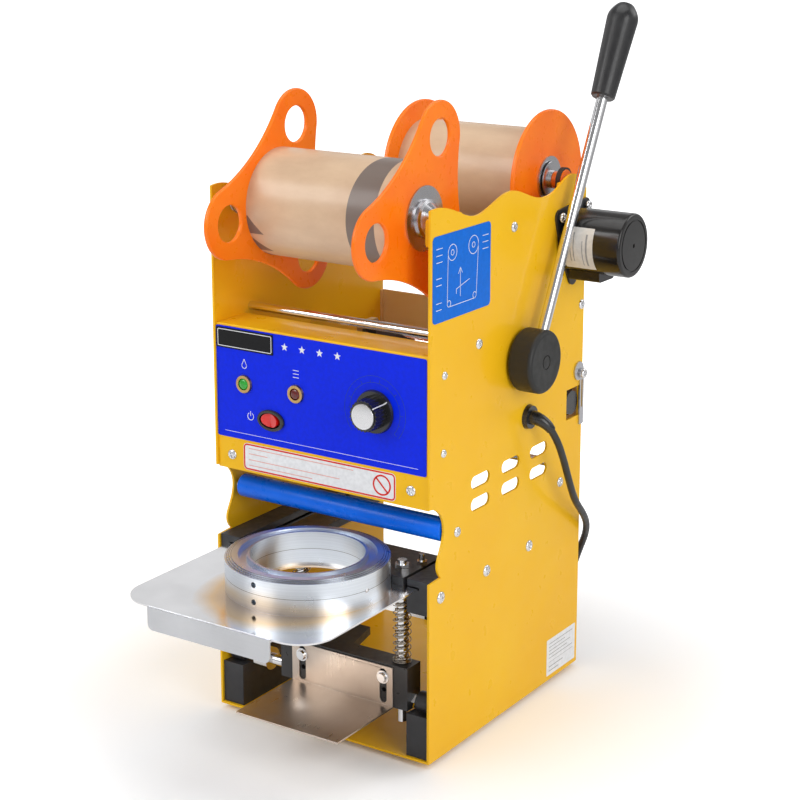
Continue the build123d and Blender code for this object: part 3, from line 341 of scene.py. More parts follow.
def powder_paint(name, color, shade):
    """Gloss powder coat with a light orange peel and uneven depth of colour."""
    finish = Finish(name, color, roughness=0.3, coat=0.12, coat_roughness=0.06)
    finish.shader.inputs["Specular IOR Level"].default_value = 0.2
    cloud = finish.noise(7, 4)
    finish.tint(cloud, shade, 0.3, 0.75)
    finish.sheen_range(finish.noise(60, 5), 0.26, 0.42)
    finish.bump(finish.noise(650, 2), 0.05, 0.35)
    return finish.material


def moulded(name, color, shade, roughness=0.35, grain=1500, depth=0.02, coat=0.0, specular=0.5):
    """Moulded plastic with a fine grain and slight flow marks."""
    finish = Finish(name, color, roughness=roughness, coat=coat, coat_roughness=0.12)
    finish.shader.inputs["Specular IOR Level"].default_value = specular
    finish.tint(finish.noise(25, 3), shade)
    finish.sheen_range(finish.noise(140, 4), roughness * 0.8, roughness * 1.3)
    finish.bump(finish.noise(grain, 2), depth, 0.5)
    return finish.material


def drawn_metal(name, color, stretch, roughness=0.22, depth=0.02, shade=None):
    """Rolled or drawn metal: fine lines along one axis and soft clouds of dullness."""
    finish = Finish(name, color, metallic=1.0, roughness=roughness)
    lines = finish.noise(900, 2, stretch)
    finish.tint(finish.noise(14, 4), shade or tuple(c * 0.88 for c in color))
    cloud = finish.math("MULTIPLY", finish.noise(30, 3), 0.6)
    mixed = finish.math("ADD", cloud, finish.math("MULTIPLY", lines, 0.4))
    finish.sheen_range(mixed, roughness * 0.75, roughness * 1.35)
    finish.bump(lines, depth, 0.35)
    return finish.material


def turned_metal(name, color, centre, axes, roughness=0.24, depth=0.03):
    """Lathe-turned metal: fine concentric tool marks about an axis."""
    finish = Finish(name, color, metallic=1.0, roughness=roughness)
    radius = finish.radius_from(centre, axes)
    third = ({"X", "Y", "Z"} - set(axes)).pop()
    marks = finish.grooves(finish.math("ADD", radius, finish.along(third)), 2600)
    finish.tint(marks, tuple(c * 0.86 for c in color))
    finish.sheen_range(finish.noise(45, 3), roughness * 0.8, roughness * 1.25)
    finish.bump(marks, depth, 0.45)
    return finish.material


def tray_sheet(name):
    """Bright rolled sheet with a painted brown shadow and a painted amber reflection in front of the
    cup ring.
    """
    # Colours of the bare sheet, of the painted amber reflection and of the painted brown shadow.
    bright, reflected_amber, shadow_brown = (0.83, 0.83, 0.84), (0.76, 0.53, 0.30), (0.42, 0.31, 0.23)
    ahead, waver = 26 * MM, 8 * MM
    shadow_to, reflection_at, bright_from = 50 * MM, 66 * MM, 82 * MM
    finish = Finish(name, bright, metallic=1.0, roughness=0.14)
    centre = centre_of("upper_ring") - Vector((0, ahead, 0))
    reach = finish.math("ADD", finish.radius_from(centre, "XY"),
                        finish.math("MULTIPLY", finish.noise(40, 2), waver))
    # Painted shadow and reflection: brown close in front of the ring, fading to an amber reflection of
    # the yellow body, then bare sheet further out.
    painted_shadow_and_reflection = finish.mix(finish.spread(reach, shadow_to, reflection_at, 0, 1), shadow_brown, reflected_amber)
    finish.paint(finish.mix(finish.spread(reach, reflection_at, bright_from, 0, 1), painted_shadow_and_reflection, bright))
    lines = finish.noise(900, 2, (0.06, 1, 1))
    finish.sheen_range(finish.noise(30, 3), 0.11, 0.19)
    finish.bump(lines, 0.01, 0.35)
    return finish.material


def ring_steps(name):
    """Turned aluminium with painted shade in the corners of its top steps, and a dark line at its split
    line.
    """
    clean_color, worn_color, shade_and_joint_color = (0.80, 0.85, 0.91), (0.72, 0.77, 0.83), (0.12, 0.11, 0.11)
    step, shaded_share, shade_and_joint_strength = 1.7 * MM, 0.24, 0.75
    steps_start, steps_end, steps_tall, line_half = 0.8 * MM, 5.7 * MM, 2.2 * MM, 0.22 * MM
    low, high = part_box("upper_ring")
    outside = (high.x - low.x) / 2
    finish = Finish(name, clean_color, metallic=1.0, roughness=0.3)
    radius, z = finish.radius_from(centre_of("upper_ring"), "XY"), finish.along("Z")
    stair = finish.math("FRACT", finish.math("DIVIDE", finish.math("SUBTRACT", outside, radius), step))
    on_steps = finish.math("MULTIPLY", finish.math("GREATER_THAN", z, high.z - steps_tall),
                           finish.between(radius, outside - steps_end, outside - steps_start))
    # Painted shade: a dark line in the inner corner of each top step.
    corner = finish.math("MULTIPLY", finish.math("LESS_THAN", stair, shaded_share), on_steps)
    line = finish.between(z, low.z - line_half, low.z + line_half)
    # The step corners' painted shade and the split line's dark joint, at the same darkness.
    corner_shade_and_joint = finish.math("MULTIPLY", finish.math("MAXIMUM", corner, line), shade_and_joint_strength)
    marks = finish.grooves(z, 1500)
    clean = finish.mix(finish.spread(marks, 0.35, 0.65, 0, 1), clean_color, worn_color)
    finish.paint(finish.mix(corner_shade_and_joint, clean, shade_and_joint_color))
    finish.sheen_range(finish.noise(45, 3), 0.26, 0.36)
    finish.bump(marks, 0.01, 0.3)
    return finish.material


def polished(name, color, roughness=0.09):
    """Plated metal with faint smears and fine scratches."""
    finish = Finish(name, color, metallic=1.0, roughness=roughness)
    finish.tint(finish.noise(60, 3), tuple(c * 0.92 for c in color))
    finish.sheen_range(finish.noise(200, 4), roughness * 0.6, roughness * 1.9)
    finish.bump(finish.noise(1200, 2, (1, 1, 0.1)), 0.01, 0.3)
    return finish.material


def wound_film(name, centre, ends=None):
    """Printed kraft-look film wound on its core, with faint rounds of wrinkles.

    ends gives the roll's two ends along the axis, for the dark parts of its print.
    """
    finish = Finish(name, (0.72, 0.53, 0.36), roughness=0.38, coat=0.25, coat_roughness=0.2)
    cloud = finish.noise(18, 5, (1, 2, 2), 0.6)
    base = finish.mix(finish.spread(cloud, 0.3, 0.7, 0, 1), (0.70, 0.50, 0.325), (0.58, 0.39, 0.245))
    specks = finish.noise(420, 4, (1, 1, 1), 0.7)
    base = finish.mix(finish.spread(specks, 0.66, 0.78, 0, 0.45), base, (0.36, 0.22, 0.13))
    layers = finish.grooves(finish.radius_from(centre, "YZ"), 2200)
    if ends:
        base = finish.mix(dark_print(finish, centre, ends), base, (0.185, 0.140, 0.115))
    finish.paint(base)
    finish.sheen_range(cloud, 0.3, 0.48)
    height = finish.math("ADD", finish.noise(35, 3, (0.3, 1, 1)), finish.math("MULTIPLY", layers, 0.25))
    finish.bump(height, 0.35, 0.35)
    return finish.material


def dark_print(finish, centre, ends):
    """A mask of the film's print: a band near the right end and pointed shapes low on the left."""
    band_start, band_end, band_bow = ends[1] - 40 * MM, ends[1] - 13 * MM, 3 * MM
    points_foot, points_long, points_per_radian = ends[0] - 3 * MM, 17 * MM, 2.1
    points_from, points_to = 0.12, 1.45
    x = finish.along("X")
    drop = finish.math("SUBTRACT", centre.z, finish.along("Z"))
    front = finish.math("SUBTRACT", centre.y, finish.along("Y"))
    turn = finish.math("ARCTAN2", drop, front)
    edge = finish.math("MULTIPLY_ADD", finish.math("MULTIPLY", turn, turn), band_bow, band_start)
    band = finish.between(x, edge, band_end)
    saw = finish.math("FRACT", finish.math("MULTIPLY", turn, points_per_radian))
    reach = finish.math("MULTIPLY_ADD", saw, points_long, points_foot)
    points = finish.math("MULTIPLY", finish.math("LESS_THAN", x, reach),
                         finish.between(turn, points_from, points_to))
    return finish.math("MAXIMUM", band, points)


def printed(name, color, roughness=0.3):
    """Ink or film with a slight mottle under a clear layer."""
    finish = Finish(name, color, roughness=roughness)
    finish.shader.inputs["Specular IOR Level"].default_value = 0.16
    finish.tint(finish.noise(300, 3), tuple(c * 0.9 for c in color))
    finish.bump(finish.noise(900, 1), 0.01, 0.2)
    return finish.material


yellow = powder_paint("yellow_powder_coat", (0.92, 0.535, 0.010), (0.88, 0.465, 0.007))
# Painted light: a paler copy of the yellow powder coat for the rear cover, standing in for its lit
# inside face.
lit_cover_yellow = powder_paint("cover_yellow_painted_light", (0.88, 0.66, 0.36), (0.84, 0.55, 0.22))

blue_print = printed("blue_overlay_print", (0.0, 0.021, 0.80), 0.28)
sticker_blue = printed("sticker_blue", (0.0, 0.15, 0.68), 0.3)
white_ink = printed("white_ink", (0.85, 0.86, 0.88), 0.35)
red_ink = printed("red_ink", (0.72, 0.03, 0.02), 0.35)
pale_ink = printed("pale_red_ink", (0.80, 0.42, 0.38), 0.4)
grey_ink = printed("grey_ink", (0.35, 0.35, 0.36), 0.4)
black_ink = printed("black_ink", (0.012, 0.012, 0.013), 0.25)
faint_blue = printed("faint_blue_ink", (0.03, 0.07, 0.32), 0.3)
paper = printed("label_paper", (0.74, 0.72, 0.68), 0.45)

orange = moulded("orange_plastic", (1.0, 0.225, 0.006), (0.98, 0.18, 0.004), 0.3, 900, 0.03, 0.1, 0.3)
roller_blue = moulded("blue_roller_sleeve", (0.0, 0.16, 0.92), (0.0, 0.13, 0.78), 0.3, 700, 0.03,
                      0.05, 0.22)
black_gloss = moulded("black_gloss_plastic", (0.012, 0.012, 0.013), (0.02, 0.02, 0.02), 0.22, 1200,
                      0.015, 0.3)
black_nylon = moulded("black_machined_nylon", (0.022, 0.022, 0.025), (0.035, 0.035, 0.038), 0.42, 500,
                      0.05)
black_steel = moulded("black_oxide_steel", (0.018, 0.018, 0.02), (0.035, 0.034, 0.034), 0.33, 900, 0.03)
black_enamel = moulded("black_motor_enamel", (0.010, 0.009, 0.009), (0.017, 0.016, 0.015), 0.2, 700,
                       0.02, 0.2, 0.4)
rubber = moulded("rubber", (0.018, 0.018, 0.018), (0.03, 0.03, 0.03), 0.6, 1400, 0.05)
belt_rubber = moulded("belt_rubber", (0.02, 0.02, 0.02), (0.03, 0.03, 0.03), 0.55, 1600, 0.05)
lead_rubber = moulded("lead_sheath", (0.016, 0.016, 0.017), (0.028, 0.028, 0.03), 0.4, 1800, 0.03)
hub_black = moulded("lever_hub_black", (0.015, 0.015, 0.014), (0.026, 0.026, 0.025), 0.42, 900, 0.04,
                    0.0, 0.35)
grip_vinyl = moulded("grip_vinyl", (0.014, 0.014, 0.015), (0.024, 0.024, 0.025), 0.34, 2200, 0.03, 0.15)
red_glow = moulded("red_rocker_plastic", (0.85, 0.012, 0.008), (0.6, 0.004, 0.004), 0.18, 800, 0.01,
                   0.5)

chrome = polished("chrome", (0.84, 0.84, 0.85))
brass = polished("bezel_brass", (0.62, 0.40, 0.16), 0.2)
stainless = tray_sheet("bright_stainless_sheet")
handle_steel = drawn_metal("satin_handle_steel", (0.70, 0.71, 0.73), (0.06, 1, 1), 0.42, 0.02)
warm_stainless = drawn_metal("cup_rest_stainless", (0.72, 0.63, 0.55), (1, 0.05, 0.05), 0.32, 0.03,
                             (0.60, 0.50, 0.42))
zinc = drawn_metal("zinc_steel", (0.62, 0.62, 0.64), (1, 1, 0.1), 0.3, 0.02)
spring_wire = drawn_metal("spring_wire", (0.50, 0.46, 0.40), (1, 1, 1), 0.25, 0.02)
head_metal = drawn_metal("milled_head_aluminium", (0.72, 0.72, 0.74), (1, 0.1, 1), 0.28, 0.03)
ring_metal = ring_steps("turned_aluminium_ring")
supply_metal = turned_metal("turned_supply_hub", (0.62, 0.62, 0.64), centre_of("supply_roll"), "YZ")
takeup_metal = turned_metal("turned_takeup_hub", (0.66, 0.66, 0.68), centre_of("takeup_roll"), "YZ")
cap_metal = turned_metal("spun_knob_cap", (0.86, 0.86, 0.87), centre_of("temperature_knob"), "XZ", 0.25)

supply_low, supply_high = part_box("supply_roll")
supply_film = wound_film("supply_film", centre_of("supply_roll"), (supply_low.x, supply_high.x))
takeup_film = wound_film("takeup_film", centre_of("takeup_roll"))


def lens(name, color, glow):
    """A small tinted lens that glows a little from inside."""
    finish = Finish(name, color, roughness=0.12, coat=0.6)
    finish.tint(finish.noise(900, 2), tuple(c * 0.3 for c in color))
    finish.shader.inputs["Emission Color"].default_value = (*color, 1)
    finish.shader.inputs["Emission Strength"].default_value = glow
    return finish.material


green_lens = lens("green_lens", (0.01, 0.30, 0.02), 0.5)
dark_red_lens = lens("dark_red_lens", (0.16, 0.006, 0.006), 0.1)

CAD_FINISHES = {
    yellow: ("left_side_plate", "right_side_plate", "base_plate", "front_panel", "spindle_brackets"),
    lit_cover_yellow: ("rear_cover",),
    blue_print: ("control_overlay",),
    brass: ("indicator_bezels",),
    green_lens: ("indicator_lenses",),
    black_gloss: ("switch_bezel", "thermostat", "limit_switch", "cable_gland", "power_plug",
                  "temperature_knob"),
    hub_black: ("lever_hub",),
    black_nylon: ("tray_rails", "ramp_blocks", "lifter_rollers"),
    black_steel: ("motor_flange", "crank_arms", "carriage_plate", "crossbar"),
    black_enamel: ("motor_body",),
    rubber: ("rubber_feet",),
    belt_rubber: ("drive_belt",),
    grip_vinyl: ("lever_grip",),
    red_glow: ("power_rocker",),
    chrome: ("case_screws", "guide_bars", "head_guide", "lever_shaft", "lever_rod", "lift_rods",
             "lifter_pins", "supply_spindle", "motor_pulley"),
    stainless: ("tray_plate",),
    handle_steel: ("tray_handle",),
    warm_stainless: ("cup_rest",),
    zinc: ("switch_strap", "cutter_ring"),
    spring_wire: ("supply_spring",),
    ring_metal: ("lower_ring", "upper_ring"),
    supply_metal: ("supply_hubs",),
    takeup_metal: ("takeup_spindle",),
    head_metal: ("head_block", "heater_plate"),
    orange: ("supply_discs", "takeup_discs", "takeup_pulley"),
    roller_blue: ("film_roller",),
    supply_film: ("supply_roll",),
    takeup_film: ("takeup_roll",),
}

# Bevel widths in mm.
SOFT_EDGES = {
    "supply_discs": 1.3, "tray_rails": 0.5, "ramp_blocks": 0.5, "carriage_plate": 0.5,
    "crossbar": 0.6, "tray_handle": 0.3, "cup_rest": 0.3, "head_block": 0.6,
    "power_rocker": 0.5, "film_roller": 0.8, "takeup_pulley": 0.4,
}


def dress_cad_nodes():
    """Gives each shown CAD node its finish, and bevels its edges where the real ones are soft."""
    for material, names in CAD_FINISHES.items():
        for name in names:
            data = nodes[name].data
            data.materials.clear()
            data.materials.append(material)
    for name, width in SOFT_EDGES.items():
        node = nodes[name]
        weld = node.modifiers.new("weld", "WELD")
        weld.merge_threshold = 10 * SAME_POINT
        bevel = node.modifiers.new("bevel", "BEVEL")
        bevel.width = width * MM
        bevel.segments = 3
        bevel.limit_method = "ANGLE"
        bevel.angle_limit = math.radians(40)
        bevel.harden_normals = True


dress_cad_nodes()


# ------------------------------------------------------------------ mesh helpers

def piece(name, mesh, material, body, smooth=True):
    """Links a mesh as an object that rides on a body and takes the given finish."""
    thing = bpy.data.objects.new(name, mesh)
    bpy.context.scene.collection.objects.link(thing)
    mesh.materials.clear()
    mesh.materials.append(material)
    if smooth:
        for polygon in mesh.polygons:
            polygon.use_smooth = True
        mesh.set_sharp_from_angle(angle=math.radians(38))
    if body:
        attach(thing, body)
    return thing


def join_rows(mesh, rows):
    """Joins each closed row of points to the next with quads."""
    for near, far in zip(rows, rows[1:]):
        for j in range(len(near)):
            k = (j + 1) % len(near)
            mesh.faces.new((near[j], near[k], far[k], far[j]))


def as_data(name, mesh):
    """Turns the faces of a bmesh outwards and hands it over as mesh data."""
    bmesh.ops.recalc_face_normals(mesh, faces=mesh.faces)
    data = bpy.data.meshes.new(name)
    mesh.to_mesh(data)
    mesh.free()
    return data


def prisms(name, outlines, origin, right, up, thickness, material, body, slot):
    """Flat shapes of a small thickness; each outline is a list of (right, up) points in mm."""
    right, up = Vector(right), Vector(up)
    lift = right.cross(up) * thickness * MM
    mesh = bmesh.new()
    for outline in outlines:
        low = [mesh.verts.new(origin + (right * u + up * v) * MM) for u, v in outline]
        high = [mesh.verts.new(vertex.co + lift) for vertex in low]
        mesh.faces.new(high)
        mesh.faces.new(low[::-1])
        for i, vertex in enumerate(low):
            j = (i + 1) % len(low)
            mesh.faces.new((vertex, low[j], high[j], high[i]))
    return piece(name, as_data(name, mesh), material, body, smooth=False)


def bar(u0, v0, u1, v1, width):
    """A straight stroke between two points."""
    direction = Vector((u1 - u0, v1 - v0)).normalized() * width / 2
    n = Vector((-direction.y, direction.x))
    return [(u0 + n.x, v0 + n.y), (u0 - n.x, v0 - n.y), (u1 - n.x, v1 - n.y), (u1 + n.x, v1 + n.y)]


def arc_strokes(u, v, radius, start, end, width, steps=24):
    """A curved stroke as short quads; angles in degrees."""
    quads = []
    for i in range(steps):
        a, b = (math.radians(start + (end - start) * k / steps) for k in (i, i + 1))
        inner, outer = radius - width / 2, radius + width / 2
        quads.append([(u + inner * math.cos(a), v + inner * math.sin(a)),
                      (u + outer * math.cos(a), v + outer * math.sin(a)),
                      (u + outer * math.cos(b), v + outer * math.sin(b)),
                      (u + inner * math.cos(b), v + inner * math.sin(b))])
    return quads


def star(u, v, radius):
    """A five-pointed star's outline."""
    points = []
    for i in range(10):
        reach = radius if i % 2 == 0 else radius * 0.42
        angle = math.radians(90 + 36 * i)
        points.append((u + reach * math.cos(angle), v + reach * math.sin(angle)))
    return points


def rounded(u0, v0, u1, v1, radius, steps=6):
    """A rectangle's outline with rounded corners."""
    points = []
    for cu, cv, start in ((u1 - radius, v1 - radius, 0), (u0 + radius, v1 - radius, 90),
                          (u0 + radius, v0 + radius, 180), (u1 - radius, v0 + radius, 270)):
        for i in range(steps + 1):
            angle = math.radians(start + 90 * i / steps)
            points.append((cu + radius * math.cos(angle), cv + radius * math.sin(angle)))
    return points


def frame_strokes(u0, v0, u1, v1, radius, width):
    """A rounded rectangular border as quads."""
    outer = rounded(u0, v0, u1, v1, radius)
    inner = rounded(u0 + width, v0 + width, u1 - width, v1 - width, max(radius - width, 0.1))
    count = len(outer)
    return [[outer[i], outer[(i + 1) % count], inner[(i + 1) % count], inner[i]] for i in range(count)]


FRONT = ((1, 0, 0), (0, 0, 1))
SIDE = ((0, 1, 0), (0, 0, 1))
INK = 0.12


def on_front(name, outlines, y, material, slot="label_film", body="frame", thickness=INK):
    return prisms(name, outlines, at(0, y, 0), *FRONT, thickness, material, body, slot)


def on_side(name, outlines, x, material, slot="label_film", thickness=INK):
    return prisms(name, outlines, at(x, 0, 0), *SIDE, thickness, material, "frame", slot)


# ------------------------------------------------------------------ printed labels

OVERLAY_Y = (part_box("control_overlay")[0].y - FRONT_Y) / MM
PANEL_Y = OVERLAY_Y + 0.5


def name_plate():
    """A blank black plate with a white border line."""
    u0, v0, u1, v1 = -107, 329, -47, 346.6
    plate = on_front("name_plate", [rounded(u0, v0, u1, v1, 0.8)], OVERLAY_Y, black_ink,
                     thickness=0.7)
    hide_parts("labels")
    on_front("name_plate_border", frame_strokes(u0 + 1.3, v0 + 1.3, u1 - 1.3, v1 - 1.3, 1.4, 0.6),
             OVERLAY_Y - 0.7, white_ink, thickness=0.09)


DIAL = (56, 297)
DIAL_START, DIAL_END = -40, 220
DIAL_TICKS = 14


def overlay_print():
    """Stars, lamp and switch pictograms, and the temperature dial's scale."""
    on_front("overlay_stars", [star(x, 338, 3.6) for x in (-35, -17, 1, 19)], OVERLAY_Y, white_ink)
    u, v = DIAL
    dial = arc_strokes(u, v, 24.5, DIAL_START, DIAL_END, 0.35, 40)
    for i in range(DIAL_TICKS):
        angle = math.radians(DIAL_START + (DIAL_END - DIAL_START) * i / (DIAL_TICKS - 1))
        c, s = math.cos(angle), math.sin(angle)
        reach = 27.5 if i % 2 == 0 else 26
        dial.append(bar(u + 24.6 * c, v + 24.6 * s, u + reach * c, v + reach * s, 0.4))
    dial += arc_strokes(u, v, 30, DIAL_START, DIAL_END, 0.3, 40)
    on_front("dial_scale", dial, OVERLAY_Y, faint_blue)
    flame = [arc_strokes(-78, 316, 2.6, 150, 390, 0.5, 12), [bar(-80.6, 316, -78, 321.5, 0.5)],
             [bar(-75.4, 316, -78, 321.5, 0.5)]]
    level = [[bar(-26.6, 313.5, -20.6, 313.5, 0.5)], [bar(-26.6, 316.5, -20.6, 316.5, 0.5)],
             [bar(-26.6, 319.5, -20.6, 319.5, 0.5)]]
    mains = [arc_strokes(-72, 272, 3.2, -240, 60, 0.55, 14), [bar(-72, 272.4, -72, 276.6, 0.55)]]
    marks = sum(flame + level + mains, [])
    on_front("overlay_pictograms", marks, OVERLAY_Y, white_ink)
    on_front("overlay_rule", [bar(-100, 255.5, 98, 255.5, 0.35)], OVERLAY_Y, white_ink)


def warning_label():
    """A pale label with a red border, plain rules and a keep-out sign."""
    u0, v0, u1, v1 = -80.7, 223.5, 76.0, 247.4
    on_front("warning_label", [rounded(u0, v0, u1, v1, 4)], PANEL_Y, white_ink, thickness=0.25)
    on_front("warning_border", frame_strokes(u0 + 0.4, v0 + 0.4, u1 - 0.4, v1 - 0.4, 3.8, 1.3),
             PANEL_Y - 0.25, red_ink)
    sign = arc_strokes(62.5, 235.4, 8.2, 0, 360, 1.5, 40) + [bar(56.8, 241.1, 68.2, 229.7, 1.5)]
    on_front("warning_sign", sign, PANEL_Y - 0.25, red_ink)
    rules = [bar(-75, v, end, v, 0.7) for v, end in ((243, 34), (238.2, -55), (233, 20), (228, -8))]
    on_front("warning_rules", rules, PANEL_Y - 0.25, pale_ink)


# The film path's drawing in mm: circles as place, radius and steps, and strokes as their two ends.
ROLLS_DRAWN = ((32, 430, 6.5, 24), (32, 430, 2.2, 16), (64, 431, 7.5, 24), (64, 431, 2.2, 16),
               (27, 389, 2.6, 16), (66, 389, 2.6, 16))
PATH_DRAWN = ((25.5, 430, 24.4, 389), (27, 386.4, 66, 386.4), (68.6, 389, 71.5, 431),
              (44, 392, 44, 416), (44, 416, 41, 411), (44, 416, 47, 411), (38, 399, 58, 404),
              (38, 399, 38, 395))
CAPTION_RULES = ((8, 436, 17, 436), (78, 436, 87, 436), (8, 430.5, 17, 430.5),
                 (78, 430.5, 87, 430.5), (8, 425, 17, 425), (78, 425, 87, 425), (8, 412, 16, 412),
                 (8, 406.5, 16, 406.5), (8, 392, 16, 392), (8, 386.5, 16, 386.5))


def threading_label():
    """A blue label on the side plate with a plain drawing of the film's path."""
    u0, v0, u1, v1 = 3, 376, 91, 446.4
    on_side("threading_label", [rounded(u0, v0, u1, v1, 4)], HALF_WIDTH, sticker_blue, thickness=0.3)
    lines = []
    for u, v, radius, steps in ROLLS_DRAWN:
        lines += arc_strokes(u, v, radius, 0, 360, 0.5, steps)
    lines += [bar(*ends, 0.45) for ends in PATH_DRAWN]
    lines += [bar(*ends, 0.5) for ends in CAPTION_RULES]
    on_side("threading_drawing", lines, HALF_WIDTH + 0.3, white_ink)


def rating_label():
    """A small white label low on the side plate, with rules in place of its text."""
    on_side("rating_label", [rounded(199, 4.5, 252, 39.5, 1)], HALF_WIDTH, white_ink, thickness=0.25)
    rules = [bar(203, v, 203 + run, v, 0.55)
             for v, run in ((35, 44), (31.5, 30), (28, 40), (24.5, 34), (21, 44))]
    rules += [bar(203, 17, 248, 17, 0.3)]
    on_side("rating_rules", rules, HALF_WIDTH + 0.25, grey_ink)
    marks = [bar(203, v, 203 + run, v, 0.7) for v, run in ((12.5, 26), (8.5, 18))]
    on_side("rating_marks", marks, HALF_WIDTH + 0.25, grey_ink)


LAMPS = (("green_lamp_lens", -78.0, 299.7, green_lens, "green_lens"),
         ("red_lamp_lens", -23.6, 299.4, dark_red_lens, "red_rocker"))
LAMP_RADIUS = 4.6
LAMP_PROUD, LAMP_DOME, LAMP_DEPTH = 1.2, 1.7, 6


def lamp_lenses():
    """A green lens on the left and a dark red one on the right, each a low dome."""
    rings, sides = 8, 32
    for name, x, z, material, slot in LAMPS:
        mesh = bmesh.new()
        rows = []
        for i in range(rings + 1):
            angle = math.pi / 2 * i / rings
            radius, proud = LAMP_RADIUS * math.sin(angle), LAMP_PROUD + LAMP_DOME * math.cos(angle)
            rows.append([mesh.verts.new(at(x + radius * math.cos(2 * math.pi * j / sides),
                                           OVERLAY_Y - proud,
                                           z + radius * math.sin(2 * math.pi * j / sides)))
                         for j in range(sides)])
        rows.append([mesh.verts.new((v.co.x, v.co.y + LAMP_DEPTH * MM, v.co.z)) for v in rows[-1]])
        join_rows(mesh, rows)
        bmesh.ops.remove_doubles(mesh, verts=mesh.verts, dist=SAME_POINT)
        mesh.faces.new(rows[-1])
        piece(name, as_data(name, mesh), material, "frame")
    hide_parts("indicator_lenses")


# The cap's section and the pointer's line, in mm: out from the knob's axis, and back from its face.
CAP_PROFILE = ((0, -0.25), (9.6, -0.35), (10.6, -0.15), (10.9, 0.3))
POINTER_LINE = ((11.7, 0.8), (13.3, 0.8), (14.15, 14.8), (17.5, 14.8))
POINTER_ANGLE = 38
POINTER_WIDTH = 0.9


def knob_trim():
    """The knob's spun metal cap and the white pointer line down its side."""
    low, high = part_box("temperature_knob")
    x, z = (low.x + high.x) / 2, (low.z + high.z) / 2
    mesh = bmesh.new()
    sides = 48
    rows = [[mesh.verts.new((x + radius * MM * math.cos(2 * math.pi * j / sides), low.y + back * MM,
                             z + radius * MM * math.sin(2 * math.pi * j / sides)))
             for j in range(sides)] for radius, back in CAP_PROFILE]
    join_rows(mesh, rows)
    bmesh.ops.remove_doubles(mesh, verts=mesh.verts, dist=SAME_POINT)
    mesh.faces.new(rows[-1])
    piece("knob_cap", as_data("knob_cap", mesh), cap_metal, "knob")

    angle = math.radians(POINTER_ANGLE)
    out = Vector((math.cos(angle), 0, math.sin(angle)))
    across = Vector((-math.sin(angle), 0, math.cos(angle))) * POINTER_WIDTH / 2 * MM
    mesh = bmesh.new()
    rows = []
    for reach, back in POINTER_LINE:
        foot = Vector((x, low.y + back * MM, z)) + out * reach * MM
        lift = out * INK * MM + Vector((0, -INK * MM, 0))
        rows.append([mesh.verts.new(foot + across), mesh.verts.new(foot - across),
                     mesh.verts.new(foot - across + lift), mesh.verts.new(foot + across + lift)])
    join_rows(mesh, rows)
    mesh.faces.new(rows[0])
    mesh.faces.new(rows[-1])
    piece("knob_pointer", as_data("knob_pointer", mesh), white_ink, "knob", smooth=False)


def wrapped(name, x0, x1, start, end, radius, thickness, material):
    """A thin patch round the motor; angles in degrees from the front, upwards."""
    low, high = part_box("motor_pulley")
    axis = Vector((0, (low.y + high.y) / 2, (low.z + high.z) / 2))
    steps = 20
    mesh = bmesh.new()
    rows = []
    for i in range(steps + 1):
        angle = math.radians(start + (end - start) * i / steps)
        out = Vector((0, -math.cos(angle), math.sin(angle)))
        rows.append([mesh.verts.new(axis + out * reach * MM + Vector((at(x, 0, 0).x, 0, 0)))
                     for reach, x in ((radius, x0), (radius, x1), (radius + thickness, x1),
                                      (radius + thickness, x0))])
    join_rows(mesh, rows)
    mesh.faces.new(rows[0])
    mesh.faces.new(rows[-1])
    piece(name, as_data(name, mesh), material, "frame", smooth=False)


# Each rule's place along the motor, its width, and where it starts and ends round the motor.
MOTOR_RULES = ((138, 1.6, -38, 22), (134.5, 0.8, -38, 10), (126, 0.8, -30, 24), (123, 0.8, -30, 4))


def motor_label():
    """A pale label round the motor with rules in place of its text."""
    wrapped("motor_label", 116, 145, -48, 34, 28.22, 0.12, paper)
    for i, (x, width, start, end) in enumerate(MOTOR_RULES):
        wrapped(f"motor_label_rule_{i + 1}", x, x + width, start, end, 28.35, 0.06, grey_ink)


name_plate()
lamp_lenses()
knob_trim()
motor_label()
overlay_print()
warning_label()
threading_label()
rating_label()


# ------------------------------------------------------------------ screws

def pan_head(radius, height, recess=0.62):
    """A pan screw head with a cross recess, standing on the xy plane, sizes in mm."""
    mesh = bmesh.new()
    rings, sides = 12, 40
    grid = []
    for i in range(rings + 1):
        t = i / rings
        row = []
        for j in range(sides):
            angle = 2 * math.pi * j / sides
            r = radius * t
            z = height * math.sqrt(max(1 - (t * 0.985) ** 3.2, 0))
            x, y = r * math.cos(angle), r * math.sin(angle)
            arm = min(abs(x), abs(y)) < radius * 0.13 and max(abs(x), abs(y)) < radius * recess
            z -= height * 0.45 if arm else 0
            row.append(mesh.verts.new((x * MM, y * MM, z * MM)))
        grid.append(row)
    foot = [mesh.verts.new((v.co.x, v.co.y, 0)) for v in grid[-1]]
    grid.append(foot)
    for inner, outer in zip(grid, grid[1:]):
        for j in range(sides):
            k = (j + 1) % sides
            mesh.faces.new((inner[j], outer[j], outer[k], inner[k]))
    bmesh.ops.remove_doubles(mesh, verts=mesh.verts, dist=SAME_POINT)
    mesh.faces.new(foot[::-1])
    bmesh.ops.recalc_face_normals(mesh, faces=mesh.faces)
    return mesh


def scatter(name, source, places, material, body):
    """Joins copies of a small mesh, each placed by a matrix, into one piece."""
    base = bpy.data.meshes.new(name + "_base")
    source.to_mesh(base)
    source.free()
    joined = bmesh.new()
    for place in places:
        copy = base.copy()
        copy.transform(place)
        joined.from_mesh(copy)
        bpy.data.meshes.remove(copy)
    data = bpy.data.meshes.new(name)
    joined.to_mesh(data)
    joined.free()
    bpy.data.meshes.remove(base)
    return piece(name, data, material, body)


def facing(point, normal, turn=0.0):
    """A matrix that stands the local z axis on a normal at a point, turned about it."""
    rotation = Vector(normal).to_track_quat("Z", "Y").to_matrix().to_4x4()
    return Matrix.Translation(point) @ rotation @ Matrix.Rotation(math.radians(turn), 4, "Z")


